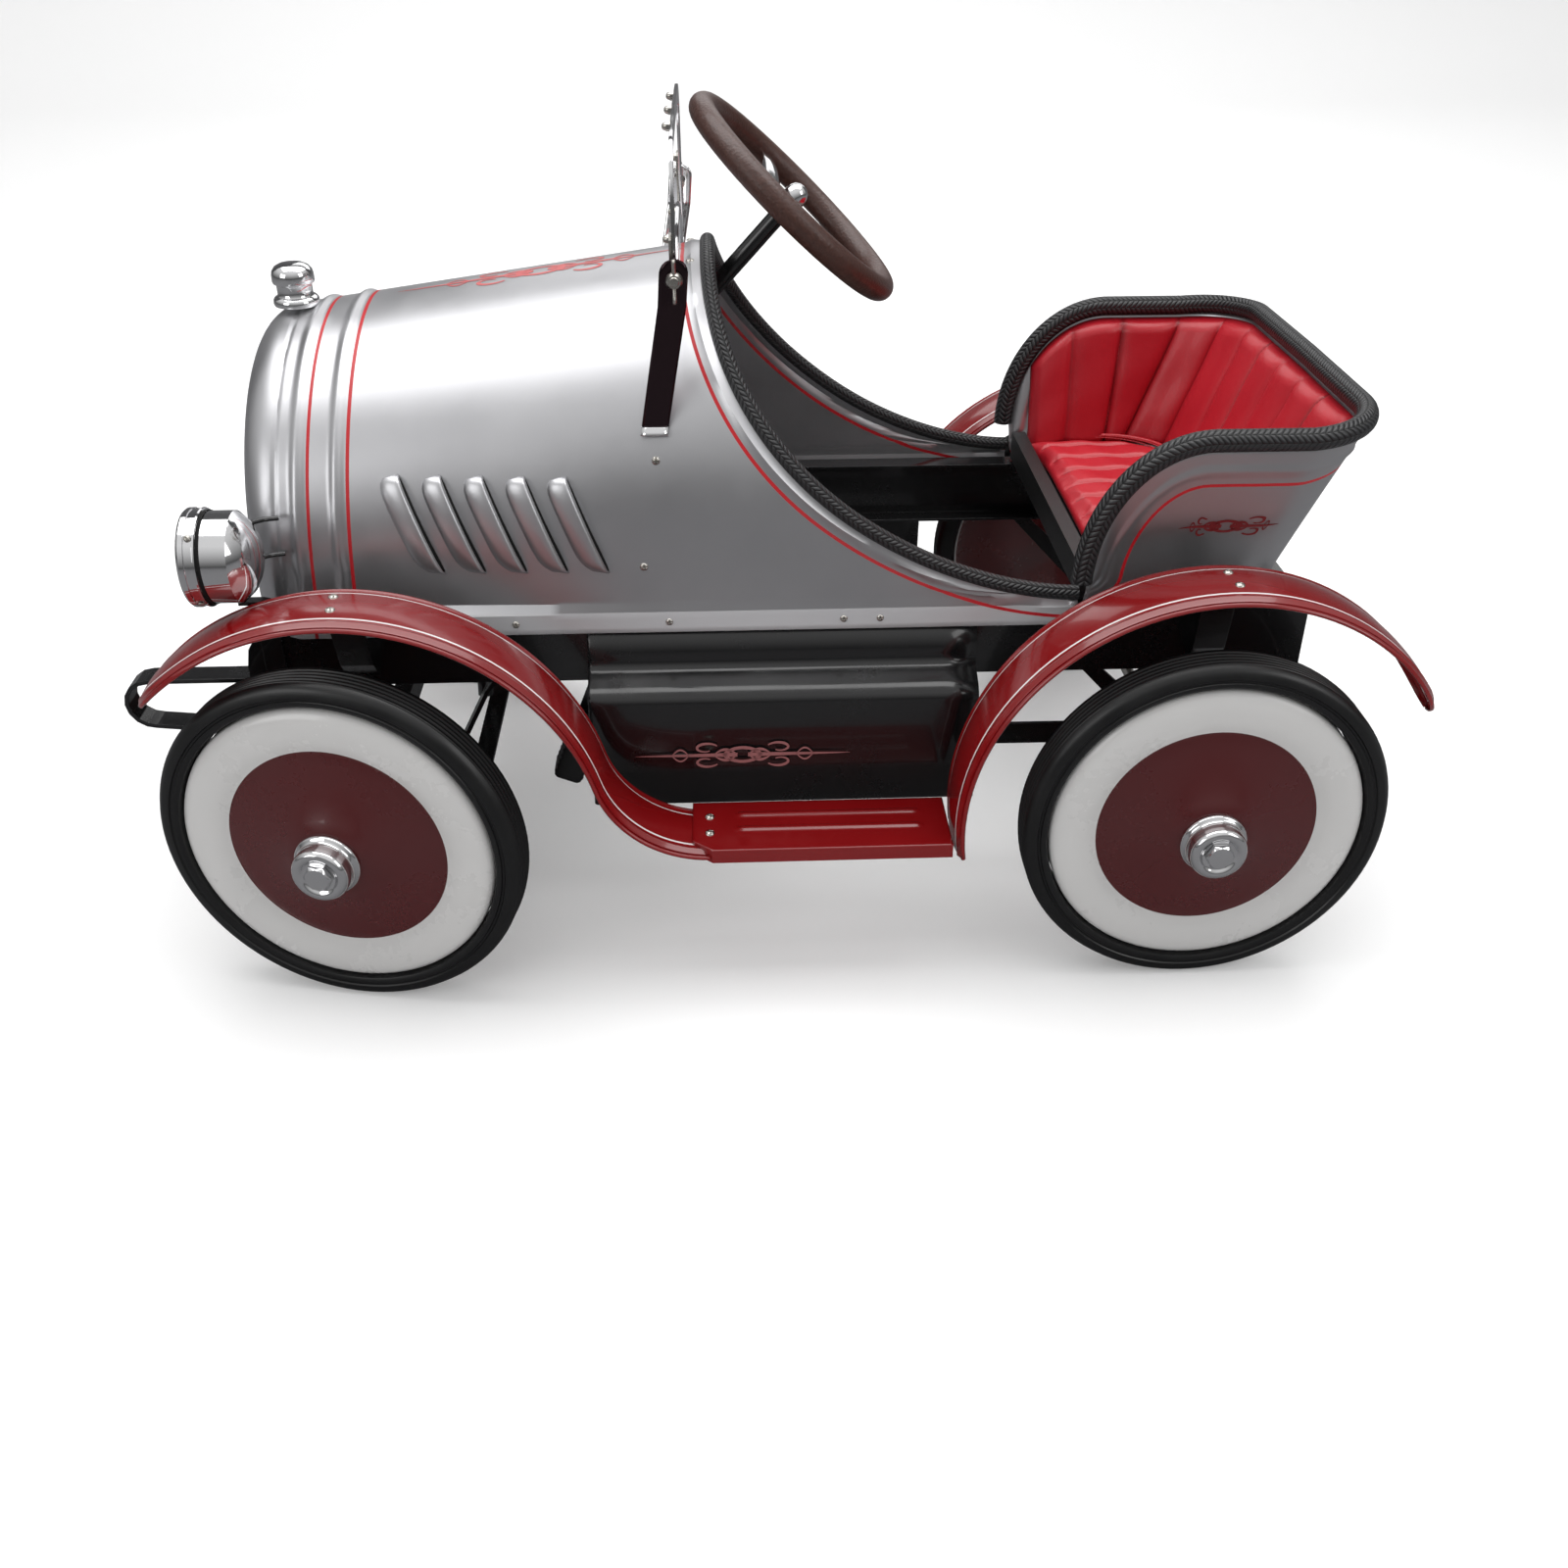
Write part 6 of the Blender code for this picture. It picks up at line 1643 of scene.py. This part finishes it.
def screen():
    loop = np.array(screen_loop())
    before, after = np.roll(loop, 1, axis=0), np.roll(loop, -1, axis=0)
    along = after - before
    along /= np.linalg.norm(along, axis=1, keepdims=True)
    out = np.stack([-along[:, 1], along[:, 0]], axis=1)
    section = rounded([(0.0, -0.00125), (-0.0045, -0.00125), (-0.0045, 0.00125), (0.0045, 0.00125),
                       (0.0045, -0.00125), (0.0, -0.00125)], 0.0006, 2)[:-1]
    grid = []
    for (y, z), (oy, oz) in zip(loop, out):
        grid.append([(SCREEN_X + depth, y + oy * across, SCREEN_Z + z + oz * across) for across, depth in section])
    grid.append(grid[0])
    strip = grid_piece("windscreen_strip", grid, wrap=True, flip=False)
    recalculated(strip)
    dress(strip, "windscreen", CHROME, "chrome", "windscreen_frame")
    nuts = []
    for y, z in ((0.0, 0.0725), (0.062, 0.0722), (-0.062, 0.0722), (0.0, 0.008), (0.075, -0.0085), (-0.075, -0.0085),
                 (0.1325, 0.020), (-0.1325, 0.020), (0.1325, -0.020), (-0.1325, -0.020)):
        nuts.append(((SCREEN_X - 0.00125, y, SCREEN_Z + z), (-1, 0, 0), (0, 0, 1), (1.0, 1.0, 1.0)))
    set_copies("windscreen_dome_nuts", DOME_NUT, nuts, STEEL, "windscreen", "bright_steel")
    points, faces = [], []
    for side in (-1, 1):
        start = len(points)
        ring = [(-0.0235, -0.0052), (-0.0215, -0.0068), (0.0215, -0.0068), (0.0235, -0.0052),
                (0.0235, 0.0052), (0.0215, 0.0068), (-0.0215, 0.0068), (-0.0235, 0.0052)]
        for x in (SCREEN_X - 0.0028, SCREEN_X - 0.0013):
            points += [(x, side * (SCREEN_HALF - 0.0070) + v, SCREEN_Z + u) for u, v in ring]
        faces += [tuple(start + i for i in range(8)), tuple(start + 15 - i for i in range(8))]
        faces += [(start + i, start + 8 + i, start + 8 + (i + 1) % 8, start + (i + 1) % 8) for i in range(8)]
    plates = link_piece("windscreen_side_plates", points, faces)
    recalculated(plates)
    dress(plates, "windscreen", STEEL, "bright_steel")
    for side, label in ((-1, "left"), (1, "right")):
        spot = Matrix.Translation((SCREEN_X, 0.0, SCREEN_Z)) @ Matrix.Rotation(-side * math.pi / 2, 4, "X")
        stud = [(0.0, 0.1552), (0.0026, 0.1550), (0.0030, 0.1545), (0.0030, 0.1370), (0.0, 0.1370)]
        dress(turned_piece(f"windscreen_stud_{label}", stud, 24, spot), "windscreen", STEEL, "bright_steel")
        body = [(0.0030, 0.1542), (0.0040, 0.1542), (0.0052, 0.1520), (0.0054, 0.1500), (0.0030, 0.1500)]
        dress(turned_piece(f"wing_nut_{label}", body, 24, spot), "windscreen", STEEL, "bright_steel")
        rows = []
        for t in np.linspace(-1.0, 1.0, 17):
            ear = 0.0011 + 0.0016 * abs(t) ** 1.5 * (1.0 if abs(t) < 0.95 else 0.4)
            ring = []
            for a in np.linspace(0.0, 2 * math.pi, 12, endpoint=False):
                lift = 0.1517 + 0.0018 * abs(t) + ear * math.sin(a)
                ring.append(tuple(spot @ Vector((0.0013 * math.cos(a), 0.0130 * t, lift))))
            rows.append(ring)
        wings = grid_piece(f"wing_nut_{label}_ears", rows, wrap=True)
        cap_ends(wings)
        dress(wings, "windscreen", STEEL, "bright_steel")


def recalculated(piece):
    shape = bmesh.new()
    shape.from_mesh(piece.data)
    bmesh.ops.remove_doubles(shape, verts=shape.verts, dist=0.000005)
    bmesh.ops.recalc_face_normals(shape, faces=shape.faces)
    shape.to_mesh(piece.data)
    shape.free()
    piece.data.set_sharp_from_angle(angle=math.radians(35))


def cap_ends(piece):
    shape = bmesh.new()
    shape.from_mesh(piece.data)
    bmesh.ops.holes_fill(shape, edges=[e for e in shape.edges if e.is_boundary])
    bmesh.ops.recalc_face_normals(shape, faces=shape.faces)
    shape.to_mesh(piece.data)
    shape.free()


def dome_nut_shape():
    points, faces, rows = [], [], []
    for radius, height, hexed in ((0.0, 0.0054, 0), (0.0012, 0.0052, 0), (0.0022, 0.0042, 0), (0.0026, 0.0028, 0),
                                  (0.0030, 0.0025, 1), (0.0030, 0.0, 1)):
        row = []
        for i in range(24):
            a = 2 * math.pi * i / 24
            flat = math.cos(math.pi / 6) / math.cos((a % (math.pi / 3)) - math.pi / 6) if hexed else 1.0
            row.append((radius * flat * math.cos(a), radius * flat * math.sin(a), height))
        rows.append(row)
    for row in rows:
        points += row
    for i in range(len(rows) - 1):
        for j in range(24):
            k = (j + 1) % 24
            faces.append((i * 24 + j, (i + 1) * 24 + j, (i + 1) * 24 + k, i * 24 + k))
    return points, faces


DOME_NUT = small_part("small_dome_nut", *dome_nut_shape())
screen()


def screen_strap(side, label):
    foot = Vector((datum + 0.2195, 0.1320, 0.372))
    knee = Vector((SCREEN_X - 0.0020, 0.1475, SCREEN_Z - 0.016))
    tip = Vector((SCREEN_X + 0.0004, 0.1475, SCREEN_Z + 0.0125))
    path = []
    for t in np.linspace(0.0, 1.0, 20):
        path.append(foot.lerp(knee, t))
    for t in np.linspace(0.0, 1.0, 16)[1:]:
        path.append(knee.lerp(tip, t))
    rows = []
    for point in path:
        above = max(0.0, (point.z - (SCREEN_Z + 0.0035)) / 0.0090)
        half = 0.0088 * math.sqrt(max(1.0 - min(above, 0.995) ** 2, 0.0))
        row = []
        for w in np.linspace(-1.0, 1.0, 9):
            drop = 0.0005 * abs(w) ** 6
            row.append((point.x + half * w, side * (point.y + 0.0010 - drop), point.z))
        rows.append(row)
    strap = grid_piece(f"windscreen_strap_{label}", rows, flip=side > 0)
    thicken(strap, 0.0018)
    # The left strap is the same chrome as the right, painted dark as a shaded, dark reflection.
    dress(strap, "car", STRAP_PAINTED_DARK_REFLECTION if side < 0 else CHROME, "chrome", "windscreen_bracket_" + label)
    rows = []
    for t in np.linspace(0.0, 1.0, 9):
        out = 0.0035 * math.sin(t * math.pi / 2)
        fall = 0.0052 * t
        rows.append([(foot.x + 0.0088 * w - 0.0004 * t, side * (foot.y + 0.0012 + out), foot.z + 0.0022 - fall)
                     for w in np.linspace(-1.0, 1.0, 5)])
    heel = grid_piece(f"windscreen_strap_foot_{label}", rows, flip=side < 0)
    thicken(heel, 0.0014)
    dress(heel, "car", CHROME, "chrome")


# A near-black chrome: painted dark reflection for the left windscreen strap.
STRAP_PAINTED_DARK_REFLECTION = chrome_finish("strap_chrome_painted_dark", (0.055, 0.035, 0.040), 0.05, 0.10)
for side, label in ((-1, "left"), (1, "right")):
    screen_strap(side, label)


# Pedals: a flat black lever on the cross rod with a ribbed rubber pad at its foot.


def pedal(side, label):
    joint = [j for j in frame["joints"] if j["name"] == f"pedal_{label}_swing"][0]
    pivot = Vector(joint["pos_m"])
    pivot.y = 0.0
    lean = math.asin(0.035 / 0.092) * side
    spot = Matrix.Translation(pivot) @ Matrix.Rotation(-lean, 4, "Y")
    ring = [(-0.008, -0.106), (0.008, -0.106), (0.008, -0.006)]
    ring += [(0.010 * math.cos(a), 0.010 * math.sin(a)) for a in np.linspace(0.0, math.pi, 13)] + [(-0.008, -0.006)]
    points, faces = [], []
    for y in (side * 0.1155, side * 0.1185):
        points += [tuple(spot @ Vector((u, y, v))) for u, v in ring]
    count = len(ring)
    faces = [tuple(range(count)), tuple(reversed(range(count, 2 * count)))]
    faces += [(i, count + i, count + (i + 1) % count, (i + 1) % count) for i in range(count)]
    lever = link_piece(f"pedal_lever_{label}", points, faces)
    recalculated(lever)
    dress(lever, f"pedal_{label}", BLACK_PAINT, "black_paint", f"pedal_{label}")
    rows = []
    for z in np.linspace(-0.108, -0.062, 3 * 12 + 1):
        share = abs((z + 0.085) / 0.023)
        trim = 0.0015 * max(share - 0.92, 0.0) / 0.08
        ridge = 0.0010 * (0.5 + 0.5 * math.cos(2 * math.pi * (z + 0.108) / 0.0046)) if share < 0.95 else 0.0
        half = 0.0100 - trim + ridge
        corners = [(0.0, -0.0112), (-half, -0.0112), (-half, 0.0112), (half, 0.0112), (half, -0.0112), (0.0, -0.0112)]
        ring = rounded(corners, 0.002, 3)
        rows.append([tuple(spot @ Vector((u, side * 0.1297 + v, z))) for u, v in ring[:-1]])
    pad = grid_piece(f"pedal_pad_{label}", rows, wrap=True)
    cap_ends(pad)
    dress(pad, f"pedal_{label}", RUBBER, "pedal_rubber")


for side, label in ((-1, "left"), (1, "right")):
    pedal(side, label)


# Small screws: domed cross-head screws in the fenders, boards, hood and foot strip.


def hood_screw(side, x, z, size):
    here = Vector(on_hood(side, x, z, 0.0))
    out = Vector(on_hood(side, x, z, 0.01)) - here
    return (tuple(here), tuple(out), (1.0, 0.0, 0.0), (size, size, size))


def all_screws():
    places = []
    for side in (-1, 1):
        for x, z in ((0.2195, 0.3533), (0.2086, 0.2824), (0.2583, 0.4325)):
            places.append(hood_screw(side, x, z, 0.72))
        for x in (-0.038, -0.013, 0.12, 0.224, 0.343, 0.368):
            places.append(((datum + x, side * 0.1492, 0.2425), (0, side, 0), (1, 0, 0), (0.66, 0.66, 0.66)))
        for centre_x, centre_z in ((datum + 0.0145, 0.1195), (rear_x, axle_z)):
            lean = 0.004 - 0.0025 if centre_x < rear_x - 0.1 else 0.002
            for across in (-0.0105, 0.0085):
                top = centre_z + FENDER_RADIUS + 0.0018
                places.append(((centre_x + lean + across * 0.1, side * (FENDER_MIDDLE_Y + across), top),
                               (0, 0, 1), (1, 0.4, 0), (0.85, 0.85, 0.85)))
        for across in (-0.010, 0.010):
            places.append(((BOARD_START + 0.012, side * (0.2085 + across), BOARD_Z - 0.0012),
                           (0, 0, 1), (1, 0.3, 0), (0.85, 0.85, 0.85)))
    places.append(((datum + 0.244, -0.030, HOOD["cowl_top"] - 0.0032), (0, -0.2, 1), (1, 0, 0), (0.8, 0.8, 0.8)))
    places.append(((datum + 0.244, 0.030, HOOD["cowl_top"] - 0.0032), (0, 0.2, 1), (1, 0, 0), (0.8, 0.8, 0.8)))
    set_copies("body_screws", SCREW, places, STEEL, "car", "bright_steel")


all_screws()


# Frame and running gear: the rails, straps, hangers, knuckles and rods keep their modelled shapes, in gloss black
# with softened edges; the rear axle is bare bright steel and the seat board's front strip is black vinyl.


def soft_edges(material, radius):
    tree = material.node_tree
    relief = [n for n in tree.nodes if n.type == "BUMP"][0]
    soft = tree.nodes.new("ShaderNodeBevel")
    soft.samples = 4
    soft.inputs["Radius"].default_value = radius
    tree.links.new(soft.outputs["Normal"], relief.inputs["Normal"])


def grained_vinyl():
    made, tree, shader = new_finish("grained_black_vinyl", colour(20, 20, 21))
    where = node(tree, "ShaderNodeTexCoord").outputs["Object"]
    grain = node(tree, "ShaderNodeTexVoronoi", {"feature": "DISTANCE_TO_EDGE"}, Vector=where, Scale=620.0)
    relief = node(tree, "ShaderNodeBump", Strength=0.6, Distance=0.0006, Height=grain.outputs["Distance"])
    tree.links.new(relief.outputs["Normal"], shader.inputs["Normal"])
    shader.inputs["Roughness"].default_value = 0.42
    return made


BLACK_VINYL = grained_vinyl()
FRAME_PAINT = black_finish("gloss_black_frame", (0.0065, 0.0065, 0.007), 0.15, 0.32, 0.3)
soft_edges(FRAME_PAINT, 0.0009)
FRAME_NODES = ["dash_bracket", "front_axle_beam", "pedal_cross_rod", "rear_cross_member",
               "steering_cross_member", "tie_rod"]
for stem in ("axle_strap", "frame_rail", "knuckle", "lamp_bracket", "push_rod", "rear_hanger"):
    FRAME_NODES += [stem + "_left", stem + "_right"]
for name in FRAME_NODES:
    frame["nodes"][name].data.materials[0] = FRAME_PAINT
frame["nodes"]["rear_axle"].data.materials[0] = STEEL
frame["nodes"]["seat_board"].data.materials[0] = BLACK_VINYL



bpy.context.view_layer.update()
